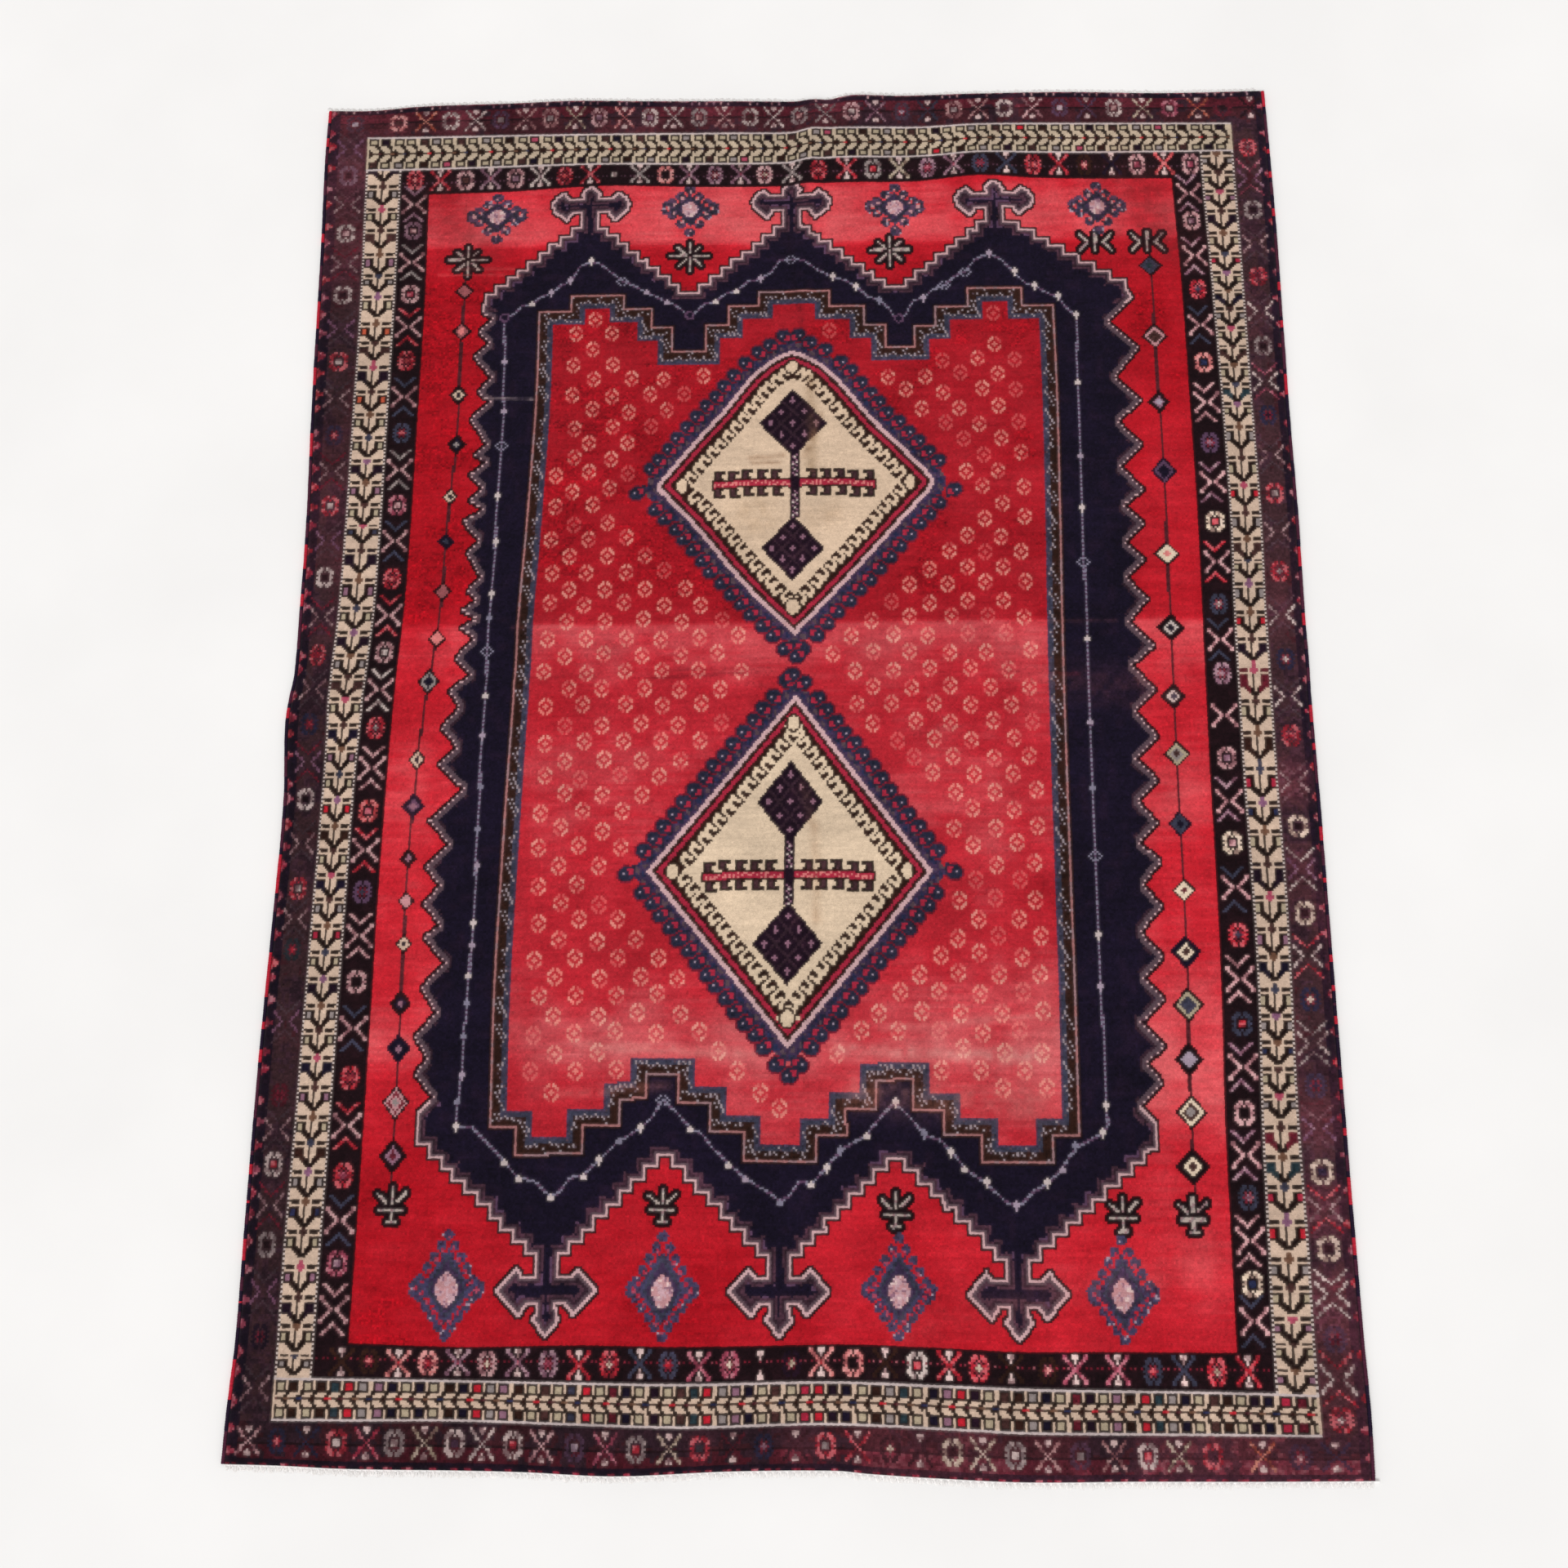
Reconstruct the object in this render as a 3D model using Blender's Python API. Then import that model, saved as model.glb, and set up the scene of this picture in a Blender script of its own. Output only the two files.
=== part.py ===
"""Hand-knotted tribal rug, lying flat on its back.

The rug is one woven slab of pile with the uneven outline and the soft folds of a rug that was
unfolded a short while ago. Its two long sides are bound in overcast cords, and the ends of the
warp stand out of both short sides as a short fringe, rooted in a narrow woven strip.
Units are metres. X runs across the rug, Y along it and Z up; the underside is at Z = 0.
"""

import bisect
import math
import random

import bpy
from mathutils import Vector, noise

# ---------------------------------------------------------------- driving dimensions (metres)

PILE_HEIGHT = 0.0100        # underside to the tips of the pile
RIM_HEIGHT = 0.0072         # pile at the very edge, where it leans outward
RIM_WIDTH = 0.0060          # how far in from the edge the pile reaches its full height
UNEVENNESS = 0.0007         # height of the slow swells in the pile
SWELL_LENGTH = 0.16         # length of those swells

CORD_WIDTH = 0.0060         # overcast cord at each long side
CORD_HEIGHT = 0.0076

STRIP_DEPTH = 0.0030        # woven strip at each short side, which holds the fringe
STRIP_HEIGHT = 0.0030
TUFT_PITCH = 0.0105         # one tuft of warp ends to the next
TUFT_ROOT = 0.55            # width of a tuft at its root, as a share of its pitch
TUFT_TIP = 0.42             # and at its tip
TUFT_TIP_HEIGHT = 0.0018
TUFT_LENGTHS = (0.0060, 0.0088)
TUFT_LEAN = 0.0014          # how far a tip strays sideways
TUFT_SEED = 7

GAP = 0.0003                # between pieces that touch

GRID = {                    # spacing of the slab's stations, finer where it is folded
    "column": {"coarse": 0.045, "fine": 0.012, "from": -0.030, "to": 0.072},
    "row": {"coarse": 0.045, "fine": 0.012, "from": 0.016, "to": 0.172},
}

# The middle of the rug's box, in the frame that the tables below are measured in.
PLAN_CENTRE = Vector((0.00135, -0.0104, 0.0))

SIDE_EDGES = (              # y, left edge x, right edge x
    (1.045, -0.757, 0.767),
    (0.940, -0.758, 0.768),
    (0.780, -0.754, 0.768),
    (0.620, -0.752, 0.766),
    (0.460, -0.749, 0.764),
    (0.300, -0.745, 0.764),
    (0.140, -0.745, 0.761),
    (0.060, -0.746, 0.761),
    (0.015, -0.752, 0.760),
    (-0.025, -0.754, 0.760),
    (-0.140, -0.748, 0.760),
    (-0.300, -0.751, 0.759),
    (-0.500, -0.756, 0.758),
    (-0.700, -0.758, 0.757),
    (-0.880, -0.759, 0.757),
    (-0.980, -0.764, 0.758),
    (-1.065, -0.766, 0.756),
)

END_EDGES = (               # x, top edge y, bottom edge y
    (-0.770, 1.028, -1.040),
    (-0.690, 1.026, -1.042),
    (-0.600, 1.033, -1.046),
    (-0.450, 1.036, -1.048),
    (-0.360, 1.039, -1.050),
    (-0.240, 1.036, -1.055),
    (-0.090, 1.033, -1.049),
    (0.050, 1.031, -1.048),
    (0.098, 1.041, -1.052),
    (0.180, 1.038, -1.057),
    (0.300, 1.040, -1.062),
    (0.450, 1.040, -1.061),
    (0.600, 1.035, -1.061),
    (0.770, 1.036, -1.060),
)

FOLDS = (                   # name, start x, y, end x, y, height, half width
    ("lengthwise fold at the top end", 0.040, 1.060, 0.018, 0.840, 0.0065, 0.034),
    ("lengthwise fold, upper half", 0.018, 0.860, 0.014, 0.160, 0.0024, 0.026),
    ("lengthwise fold, lower half", 0.014, 0.120, 0.004, -0.460, 0.0022, 0.026),
    ("cross fold", -0.690, 0.128, 0.700, 0.130, 0.0022, 0.028),
    ("pinched crease below it", -0.560, 0.030, 0.030, 0.056, 0.0030, 0.022),
    ("ripple at the left edge", -0.752, 0.016, -0.600, 0.024, 0.0035, 0.034),
)

COLOURS = {                 # base colour, roughness
    "pile": ((0.47, 0.022, 0.030), 0.95),
    "edge_wool": ((0.030, 0.014, 0.028), 0.93),
    "cotton": ((0.78, 0.74, 0.70), 0.92),
}


# ---------------------------------------------------------------- shape of the rug in plan

def smooth_column(rows, column, at):
    """Value of one column of a table at a given abscissa, on a smooth curve through the rows."""
    rows = sorted(rows)
    places = [row[0] for row in rows]
    last = len(rows) - 2
    low = min(max(bisect.bisect_right(places, at) - 1, 0), last)
    before, after = max(low - 1, 0), min(low + 2, last + 1)

    def slope(first, second):
        return (rows[second][column] - rows[first][column]) / (places[second] - places[first])

    span = places[low + 1] - places[low]
    t = min(max((at - places[low]) / span, 0.0), 1.0)
    start_slope = slope(before, low + 1) * span
    end_slope = slope(low, after) * span
    start, end = rows[low][column], rows[low + 1][column]
    return ((2 * t ** 3 - 3 * t ** 2 + 1) * start + (t ** 3 - 2 * t ** 2 + t) * start_slope
            + (3 * t ** 2 - 2 * t ** 3) * end + (t ** 3 - t ** 2) * end_slope)


def left_edge(y):
    return smooth_column(SIDE_EDGES, 1, y)


def right_edge(y):
    return smooth_column(SIDE_EDGES, 2, y)


def top_edge(x):
    return smooth_column(END_EDGES, 1, x)


def bottom_edge(x):
    return smooth_column(END_EDGES, 2, x)


def stations(low, high, spacing):
    """Shares from 0 to 1 across a span, close together where the rug is folded."""
    values = [low]
    while True:
        here = values[-1]
        inside = spacing["from"] <= here < spacing["to"]
        step = spacing["fine"] if inside else spacing["coarse"]
        following = here + step
        if here < spacing["from"] < following:
            following = spacing["from"]
        if following > high - 0.5 * step:
            break
        values.append(following)
    values.append(high)
    return [(value - low) / (high - low) for value in values]


def plan_point(across, along):
    """Point of the slab at the given shares of its width and length."""
    inset = CORD_WIDTH + GAP
    x = (2 * across - 1) * 0.76
    for _ in range(3):
        y = bottom_edge(x) + along * (top_edge(x) - bottom_edge(x))
        left, right = left_edge(y) + inset, right_edge(y) - inset
        x = left + across * (right - left)
    return x, y


def fold_height(x, y):
    """Height that the folds add at a point: each is a soft ridge that dies out at its ends."""
    total = 0.0
    for _, x0, y0, x1, y1, height, half_width in FOLDS:
        run = Vector((x1 - x0, y1 - y0))
        offset = Vector((x - x0, y - y0))
        share = offset.dot(run) / run.length_squared
        if not 0.0 < share < 1.0:
            continue
        aside = (offset - run * share).length / half_width
        if aside >= 1.0:
            continue
        fade = min(1.0, 6 * share, 6 * (1 - share))
        total += height * fade * math.cos(aside * math.pi / 2) ** 2
    return total


def swell(x, y):
    """Slow unevenness of the pile."""
    return UNEVENNESS * noise.noise(Vector((x, y, 0.3)) / SWELL_LENGTH)


# ---------------------------------------------------------------- meshes

def add_object(name, points, faces, material):
    """One closed mesh object, its points moved to the rug's own frame."""
    mesh = bpy.data.meshes.new(name)
    mesh.from_pydata([Vector(point) - PLAN_CENTRE for point in points], [], faces)
    mesh.materials.append(material)
    mesh.update()
    obj = bpy.data.objects.new(name, mesh)
    bpy.context.scene.collection.objects.link(obj)
    return obj


def make_material(name):
    colour, roughness = COLOURS[name]
    material = bpy.data.materials.new(name)
    material.use_nodes = True
    shader = material.node_tree.nodes["Principled BSDF"]
    shader.inputs["Base Color"].default_value = (*colour, 1.0)
    shader.inputs["Roughness"].default_value = roughness
    shader.inputs["Metallic"].default_value = 0.0
    return material


def make_slab(columns, rows, material):
    """The woven rug: a grid on top, an upright rim, and a flat underside."""
    wide, long = len(columns) - 1, len(rows) - 1
    points, faces = [], []
    for j, along in enumerate(rows):
        for i, across in enumerate(columns):
            x, y = plan_point(across, along)
            on_rim = i in (0, wide) or j in (0, long)
            height = RIM_HEIGHT if on_rim else PILE_HEIGHT + swell(x, y)
            points.append((x, y, height + fold_height(x, y)))

    def top(i, j):
        return j * (wide + 1) + i

    for j in range(long):
        for i in range(wide):
            faces.append((top(i, j), top(i + 1, j), top(i + 1, j + 1), top(i, j + 1)))

    rim = [(i, 0) for i in range(wide)] + [(wide, j) for j in range(long)]
    rim += [(i, long) for i in range(wide, 0, -1)] + [(0, j) for j in range(long, 0, -1)]
    under = {}
    for i, j in rim:
        under[i, j] = len(points)
        x, y, _ = points[top(i, j)]
        points.append((x, y, 0.0))
    for here, following in zip(rim, rim[1:] + rim[:1]):
        faces.append((top(*here), under[here], under[following], top(*following)))

    for j in range(1, long - 1):
        faces.append((under[0, j], under[0, j + 1], under[wide, j + 1], under[wide, j]))
    middle = wide // 2
    for end, inner in ((0, 1), (long, long - 1)):
        fan = [(under[0, inner], under[i + 1, end], under[i, end]) for i in range(middle)]
        fan += [(under[wide, inner], under[i + 1, end], under[i, end]) for i in range(middle, wide)]
        fan.append((under[0, inner], under[wide, inner], under[middle, end]))
        faces += fan if end == 0 else [face[::-1] for face in fan]
    return add_object("rug_body", points, faces, material)


def cord_section():
    """Overcast cord in section: flat below, round above, from 0 to its width."""
    half = CORD_WIDTH / 2
    return (
        (0.45 * half, 0.0),
        (1.55 * half, 0.0),
        (2.00 * half, 0.24 * CORD_HEIGHT),
        (2.00 * half, 0.66 * CORD_HEIGHT),
        (1.50 * half, CORD_HEIGHT),
        (0.50 * half, CORD_HEIGHT),
        (0.00, 0.66 * CORD_HEIGHT),
        (0.00, 0.24 * CORD_HEIGHT),
    )


def make_cord(name, inner_line, side, material):
    """Cord along one long side; side is -1 on the left and 1 on the right."""
    section = cord_section()
    count = len(section)
    points = []
    for x, y in inner_line:
        start = x + GAP if side > 0 else x - GAP - CORD_WIDTH
        points += [(start + offset, y, height) for offset, height in section]
    faces = [tuple(range(count)), tuple(range(len(points) - 1, len(points) - count - 1, -1))]
    for j in range(len(inner_line) - 1):
        for k in range(count):
            near, far = j * count + k, j * count + (k + 1) % count
            faces.append((near, near + count, far + count, far))
    return add_object(name, points, faces, material)


def tuft_spans(line):
    """Stations of the strip: every second stretch, between two short ones, carries a tuft."""
    spans = []
    for (x0, y0), (x1, y1) in zip(line, line[1:]):
        count = max(1, round((x1 - x0) / TUFT_PITCH))
        for k in range(count):
            for share in ((1 - TUFT_ROOT) / 2, (1 + TUFT_ROOT) / 2):
                t = (k + share) / count
                spans.append((x0 + t * (x1 - x0), y0 + t * (y1 - y0)))
    return spans


def make_fringe(name, edge_line, side, rng, material):
    """Woven strip with short tufts; side is 1 at the top end and -1 at the bottom end."""
    ends = [edge_line[0]], [edge_line[-1]]
    line = ends[0] + tuft_spans(edge_line) + ends[1]
    points, faces = [], []
    for x, y in line:
        inner, outer = y + side * GAP, y + side * (GAP + STRIP_DEPTH)
        points += [(x, inner, 0.0), (x, outer, 0.0), (x, outer, STRIP_HEIGHT), (x, inner, STRIP_HEIGHT)]

    def ring(k):
        return [4 * k + corner for corner in range(4)]

    def face(*corners):
        faces.append(corners if side > 0 else corners[::-1])

    face(*ring(0)[::-1])
    face(*ring(len(line) - 1))
    for k in range(len(line) - 1):
        a, b = ring(k), ring(k + 1)
        face(a[0], a[1], b[1], b[0])
        face(a[2], a[3], b[3], b[2])
        face(a[3], a[0], b[0], b[3])
        if k % 2 == 0:
            face(a[1], a[2], b[2], b[1])
            continue
        (x0, y0), (x1, y1) = line[k], line[k + 1]
        middle = (x0 + x1) / 2 + rng.uniform(-TUFT_LEAN, TUFT_LEAN)
        half_tip = (x1 - x0) / 2 * TUFT_TIP / TUFT_ROOT
        reach = GAP + STRIP_DEPTH + rng.uniform(*TUFT_LENGTHS)
        tip = len(points)
        for x, y in ((middle - half_tip, y0 + side * reach), (middle + half_tip, y1 + side * reach)):
            points += [(x, y, 0.0), (x, y, TUFT_TIP_HEIGHT)]
        face(a[1], tip, tip + 2, b[1])
        face(b[2], tip + 3, tip + 1, a[2])
        face(a[2], tip + 1, tip, a[1])
        face(b[1], tip + 2, tip + 3, b[2])
        face(tip, tip + 1, tip + 3, tip + 2)
    return add_object(name, points, faces, material)


# ---------------------------------------------------------------- the rug

def slab_stations():
    """Shares across and along the slab, with one more station inside each edge for its rim."""
    left, right = left_edge(0.0), right_edge(0.0)
    bottom, top = bottom_edge(0.0), top_edge(0.0)
    columns = stations(left, right, GRID["column"])
    rows = stations(bottom, top, GRID["row"])
    rim_across, rim_along = RIM_WIDTH / (right - left), RIM_WIDTH / (top - bottom)
    columns = [0.0, rim_across] + columns[1:-1] + [1 - rim_across, 1.0]
    rows = [0.0, rim_along] + rows[1:-1] + [1 - rim_along, 1.0]
    return columns, rows


def build_rug():
    pile, edge_wool, cotton = (make_material(name) for name in COLOURS)
    columns, rows = slab_stations()
    make_slab(columns, rows, pile)

    left_line = [plan_point(0.0, along) for along in rows]
    right_line = [plan_point(1.0, along) for along in rows]
    make_cord("selvedge_left", left_line, -1, edge_wool)
    make_cord("selvedge_right", right_line, 1, edge_wool)

    rng = random.Random(TUFT_SEED)
    for name, along, side in (("fringe_top", 1.0, 1), ("fringe_bottom", 0.0, -1)):
        line = [plan_point(across, along) for across in columns]
        reach = CORD_WIDTH + GAP
        line = [(line[0][0] - reach, line[0][1])] + line + [(line[-1][0] + reach, line[-1][1])]
        make_fringe(name, line, side, rng, cotton)


for old in list(bpy.data.objects):
    bpy.data.objects.remove(old, do_unlink=True)
build_rug()
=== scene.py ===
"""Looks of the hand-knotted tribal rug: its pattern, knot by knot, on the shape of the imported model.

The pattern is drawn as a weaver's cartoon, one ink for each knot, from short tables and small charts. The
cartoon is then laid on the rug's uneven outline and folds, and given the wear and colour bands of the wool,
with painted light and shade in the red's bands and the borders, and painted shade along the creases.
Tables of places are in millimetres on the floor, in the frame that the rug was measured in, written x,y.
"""

import math

import bpy
import numpy as np
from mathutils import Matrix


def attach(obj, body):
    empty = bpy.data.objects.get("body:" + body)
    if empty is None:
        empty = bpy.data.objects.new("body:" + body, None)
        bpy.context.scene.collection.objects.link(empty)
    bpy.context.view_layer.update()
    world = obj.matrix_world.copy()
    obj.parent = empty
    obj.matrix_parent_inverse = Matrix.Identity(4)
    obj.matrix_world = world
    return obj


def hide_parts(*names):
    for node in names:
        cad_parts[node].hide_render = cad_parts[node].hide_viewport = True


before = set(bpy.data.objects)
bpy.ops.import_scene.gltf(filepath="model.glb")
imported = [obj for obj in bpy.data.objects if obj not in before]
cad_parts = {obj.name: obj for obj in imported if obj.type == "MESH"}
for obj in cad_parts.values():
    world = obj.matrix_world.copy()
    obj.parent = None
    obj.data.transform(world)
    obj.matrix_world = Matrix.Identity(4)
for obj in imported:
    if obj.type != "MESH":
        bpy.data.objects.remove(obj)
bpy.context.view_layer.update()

KNOT = 3.0                  # from one knot to the next
CORD = 6.3                  # width of the overcast edge, which holds no knots


# ---------------------------------------------------------------- reading the tables
def numbers(text):
    """Lines of numbers as an array of rows."""
    return np.array([line.split() for line in text.strip().splitlines()], float)


def value_of(part):
    return float(part) if part.lstrip("-").replace(".", "").isdigit() else part


def groups(text):
    """Words of numbers joined by commas as a list of tuples; what isn't a number stays a word."""
    return [tuple(map(value_of, word.split(","))) for word in text.split()]


def turns(text):
    """Corners of a line that runs by turns across and along: its first x and y, then each new x or y."""
    x, y, *rest = map(float, text.split())
    corners = [(x, y)]
    for k, value in enumerate(rest):
        x, y = (x, value) if k % 2 else (value, y)
        corners.append((x, y))
    return corners


def strokes(text):
    return [groups(part) for part in text.split("/")]


# ---------------------------------------------------------------- the cloth's outline and control lines
# y, left edge x, right edge x
SIDE_EDGES = numbers("""
1045 -757 767
940 -758 768
780 -754 768
620 -752 766
460 -749 764
300 -745 764
140 -745 761
60 -746 761
15 -752 760
-25 -754 760
-140 -748 760
-300 -751 759
-500 -756 758
-700 -758 757
-880 -759 757
-980 -764 758
-1065 -766 756
""")
# x, top edge y, bottom edge y
END_EDGES = numbers("""
-770 1028 -1040
-690 1026 -1042
-600 1033 -1046
-450 1036 -1048
-360 1039 -1050
-240 1036 -1055
-90 1033 -1049
50 1031 -1048
98 1041 -1052
180 1038 -1057
300 1040 -1062
450 1040 -1061
600 1035 -1061
770 1036 -1060
""")
# Warps that can be followed down the rug. y, then x of each: the left ivory band's outer and inner edge, the
# left edges of field and panel, the centre, the right edges of panel and field, the right ivory band's inner
# and outer edge.
WARPS = (-228, -210, -195, -136, 0, 135, 203, 219, 235)     # knots from the centre warp
WARP_LINES = numbers("""
1040 -690 -632 -584 -399 3 410 607 655 708
870 -687 -630 -583 -399 3 410 607 655 708
680 -683 -628 -580 -399 3 410 611 658 708
500 -683 -628 -581 -399 2 410 611 660 707
300 -683 -628 -582 -406 2 406 611 660 707
150 -685 -630 -585 -413 -1 402 608 655 703
50 -690 -636 -591 -415 -3 400 606 653 702
-100 -690 -643 -596 -420 -6 398 603 651 700
-300 -693 -645 -599 -425 -10 396 601 651 700
-420 -695 -646 -599 -427 -13 395 598 649 697
-600 -697 -647 -600 -425 -18 392 591 641 692
-750 -700 -649 -601 -423 -21 390 588 637 692
-890 -700 -650 -603 -422 -23 388 586 634 690
-1050 -701 -651 -604 -421 -25 386 585 633 690
""")
# Wefts that can be followed across the rug. x, then y of each: the top ivory band's outer and inner edge, the
# top of field and panel, three in the panel, then the same edges at the bottom.
WEFTS = (324, 305, 291, 218, 100, 0, -100, -217, -297, -312, -330)     # knots from the middle weft
WEFT_LINES = numbers("""
-740 975 912 867 655 300 0 -300 -642 -887 -931 -986
-600 974 912 867 655 300 0 -300 -642 -888 -933 -987
-450 975 915 870 655 300 0 -300 -643 -893 -935 -987
-300 974 917 878 655 300 0 -300 -644 -891 -938 -992
-150 973 914 873 655 300 0 -300 -647 -893 -940 -996
0 972 914 872 655 300 0 -300 -650 -891 -937 -992
70 980 923 878 655 300 0 -300 -651 -890 -937 -992
200 978 922 877 655 300 0 -300 -654 -895 -942 -998
300 982 929 887 655 300 0 -300 -655 -900 -946 -1003
400 981 926 880 655 300 0 -300 -656 -900 -948 -1004
550 979 924 876 655 300 0 -300 -657 -901 -950 -1005
750 975 924 875 655 300 0 -300 -657 -901 -956 -1007
""")
FIRST_COLUMN, LAST_COLUMN, FIRST_ROW, LAST_ROW = -247, 252, -349, 344     # of the cloth, from its middle knot
COLUMNS, ROWS = LAST_COLUMN - FIRST_COLUMN, LAST_ROW - FIRST_ROW
WARP_STATIONS = np.array([FIRST_COLUMN, *WARPS, LAST_COLUMN], float) - FIRST_COLUMN
WEFT_STATIONS = np.array([FIRST_ROW, *WEFTS[::-1], LAST_ROW], float) - FIRST_ROW


def smooth(table, column, at):
    """One column of a table on a smooth curve through its rows, at an array of places of the first column."""
    table = table[table[:, 0].argsort()]
    places, values = table[:, 0], table[:, column]
    slopes = np.gradient(values, places)
    slopes[1:-1] = (values[2:] - values[:-2]) / (places[2:] - places[:-2])
    at = np.clip(np.asarray(at, float), places[0], places[-1])
    low = np.clip(np.searchsorted(places, at, side="right") - 1, 0, len(places) - 2)
    span = places[low + 1] - places[low]
    t = (at - places[low]) / span
    ease = t * t * (3 - 2 * t)
    bend = (slopes[low] * (1 - t) - slopes[low + 1] * t) * t * (1 - t) * span
    return values[low] * (1 - ease) + values[low + 1] * ease + bend


def followed(edges, lines, inset, at):
    """Where both edges and every followed warp or weft between them lie: an array of one column for each."""
    inner = [smooth(lines, k, at) for k in range(1, lines.shape[1])]
    return np.stack([smooth(edges, 1, at) + inset, *inner, smooth(edges, 2, at) - inset], -1)


def warps_at(y):
    return followed(SIDE_EDGES, WARP_LINES, CORD, y)


def wefts_at(x):
    return followed(END_EDGES, WEFT_LINES, 0, x)[..., ::-1]


def between(stations, table, place):
    """Value at fractional stations, each row of the table having its own values."""
    low = np.clip(np.searchsorted(stations, place, side="right") - 1, 0, len(stations) - 2)
    share = (place - stations[low]) / (stations[low + 1] - stations[low])
    rows = np.arange(len(place))
    return table[rows, low] * (1 - share) + table[rows, low + 1] * share


def lay(columns, rows):
    """Where knots at these columns and rows of the cartoon lie on the floor (mm)."""
    shape = np.shape(columns)
    columns, rows = np.ravel(columns).astype(float), np.ravel(rows).astype(float)
    x = (columns + FIRST_COLUMN) * KNOT
    for _ in range(4):
        y = between(WEFT_STATIONS, wefts_at(x), rows)
        x = between(WARP_STATIONS, warps_at(y), columns)
    return x.reshape(shape), y.reshape(shape)


def at(x, y):
    """Column and row of the cartoon under a point of the floor (mm)."""
    return float(np.interp(x, warps_at(y), WARP_STATIONS)), float(np.interp(y, wefts_at(x), WEFT_STATIONS))


def on_floor(points):
    return [at(x, y) for x, y in points]


# ---------------------------------------------------------------- inks
# name, its letter in the charts, red, green, blue
INKS = {name: (letter, tuple(map(int, colour))) for name, letter, *colour in map(str.split, """
field f 168 24 36
rosette - 205 118 118
rosette_eye - 222 150 140
rosette_faint - 190 90 92
blush - 202 164 166
ink_blue - 48 44 58
husk - 104 72 56
rust R 184 84 60
thistle - 128 84 112
shell - 220 190 186
navy n 23 17 33
black z 27 14 18
umber U 44 25 20
bark h 64 40 38
plum - 72 46 58
fig F 50 32 42
maroon M 70 30 36
garnet d 92 26 38
wine x 112 26 42
crimson k 162 38 60
red r 184 34 48
coral o 206 72 76
salmon s 214 122 120
pink p 190 138 142
rose q 166 70 92
mauve m 138 98 116
lilac l 160 142 158
grey g 142 130 128
beige e 172 156 132
ivory i 203 176 156
linen - 213 186 160
cream c 224 202 178
bone w 200 184 178
slate y 54 54 70
steel j 66 62 92
blue b 38 42 70
violet v 58 44 70
teal t 36 50 56
clay C 160 108 108
aubergine A 30 16 28
purple u 88 62 86
dusk D 84 66 74
night - 36 38 56
haze - 150 116 120
straw - 178 162 154
dusk_blue - 60 54 76
fog - 150 136 142
brick B 148 82 86
dust - 196 158 166
ash - 124 118 136
pearl - 196 180 178
soot - 30 18 16
cocoa - 68 44 48
bisque - 190 170 148
milk - 217 193 166
""".strip().splitlines())}
NUMBER = {name: k for k, name in enumerate(INKS)}
LETTERS = {letter: name for name, (letter, _) in INKS.items()}

cartoon = np.zeros((ROWS, COLUMNS), np.uint8)
GRID_C, GRID_R = np.meshgrid(np.arange(COLUMNS) + 0.5, np.arange(ROWS) + 0.5)


def paint(mask, ink):
    cartoon[mask] = NUMBER[ink]


def box(x0, x1, y0, y1):
    """Columns x0 to x1 and rows y0 to y1 of the cartoon."""
    mask = np.zeros(cartoon.shape, bool)
    mask[max(int(round(y0)), 0):int(round(y1)), max(int(round(x0)), 0):int(round(x1))] = True
    return mask


def inside(left, right, bottom, top):
    """The same, counted from the cloth's middle knot."""
    return box(left - FIRST_COLUMN, right - FIRST_COLUMN, bottom - FIRST_ROW, top - FIRST_ROW)


def polygon(corners):
    """Knots whose middle lies inside a polygon, its corners given as columns and rows."""
    mask = np.zeros(cartoon.shape, bool)
    for (ax, ay), (bx, by) in zip(corners, corners[1:] + corners[:1]):
        if ay != by:
            left = GRID_C < (bx - ax) * (GRID_R - ay) / (by - ay) + ax
            mask ^= ((ay > GRID_R) != (by > GRID_R)) & left
    return mask


def distance(corners, closed=True):
    """Distance in knots from a line."""
    far = np.full(cartoon.shape, float(ROWS))
    for (ax, ay), (bx, by) in zip(corners, corners[1:] + corners[:1] * closed):
        dx, dy = bx - ax, by - ay
        t = np.clip(((GRID_C - ax) * dx + (GRID_R - ay) * dy) / max(dx * dx + dy * dy, 1e-9), 0, 1)
        far = np.minimum(far, np.hypot(GRID_C - ax - t * dx, GRID_R - ay - t * dy))
    return far


def stroke(corners, width):
    return distance(corners, closed=False) <= width / 2


def ellipse(c, r, across, along):
    return ((GRID_C - c) / across) ** 2 + ((GRID_R - r) / along) ** 2 <= 1


def grow(mask, steps, square=True):
    """The mask wider by some knots all round, with square or with slanting corners."""
    for _ in range(steps):
        wide = mask.copy()
        wide[1:] |= mask[:-1]
        wide[:-1] |= mask[1:]
        source = wide.copy() if square else mask
        wide[:, 1:] |= source[:, :-1]
        wide[:, :-1] |= source[:, 1:]
        mask = wide
    return mask


def shrink(mask, steps, square=True):
    return ~grow(~mask, steps, square)


def quarter(text, even=False):
    """A chart from its upper left quarter, middle column included, and middle row too unless it is even."""
    rows = [line + line[-2::-1] for line in text.split()]
    return rows + (rows[::-1] if even else rows[-2::-1])


def stamp(chart, c, r, inks, flip=False, upside=False):
    """Paint a chart with its middle at a column and row; dots stay clear."""
    rows = chart[::-1] if upside else chart
    c_left, r_top = int(round(c - len(rows[0]) / 2)), int(round(r + len(rows) / 2)) - 1
    for j, line in enumerate(rows):
        for i, mark in enumerate(line[::-1] if flip else line):
            if mark != "." and 0 <= r_top - j < ROWS and 0 <= c_left + i < COLUMNS:
                cartoon[r_top - j, c_left + i] = NUMBER[inks[mark]]


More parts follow.
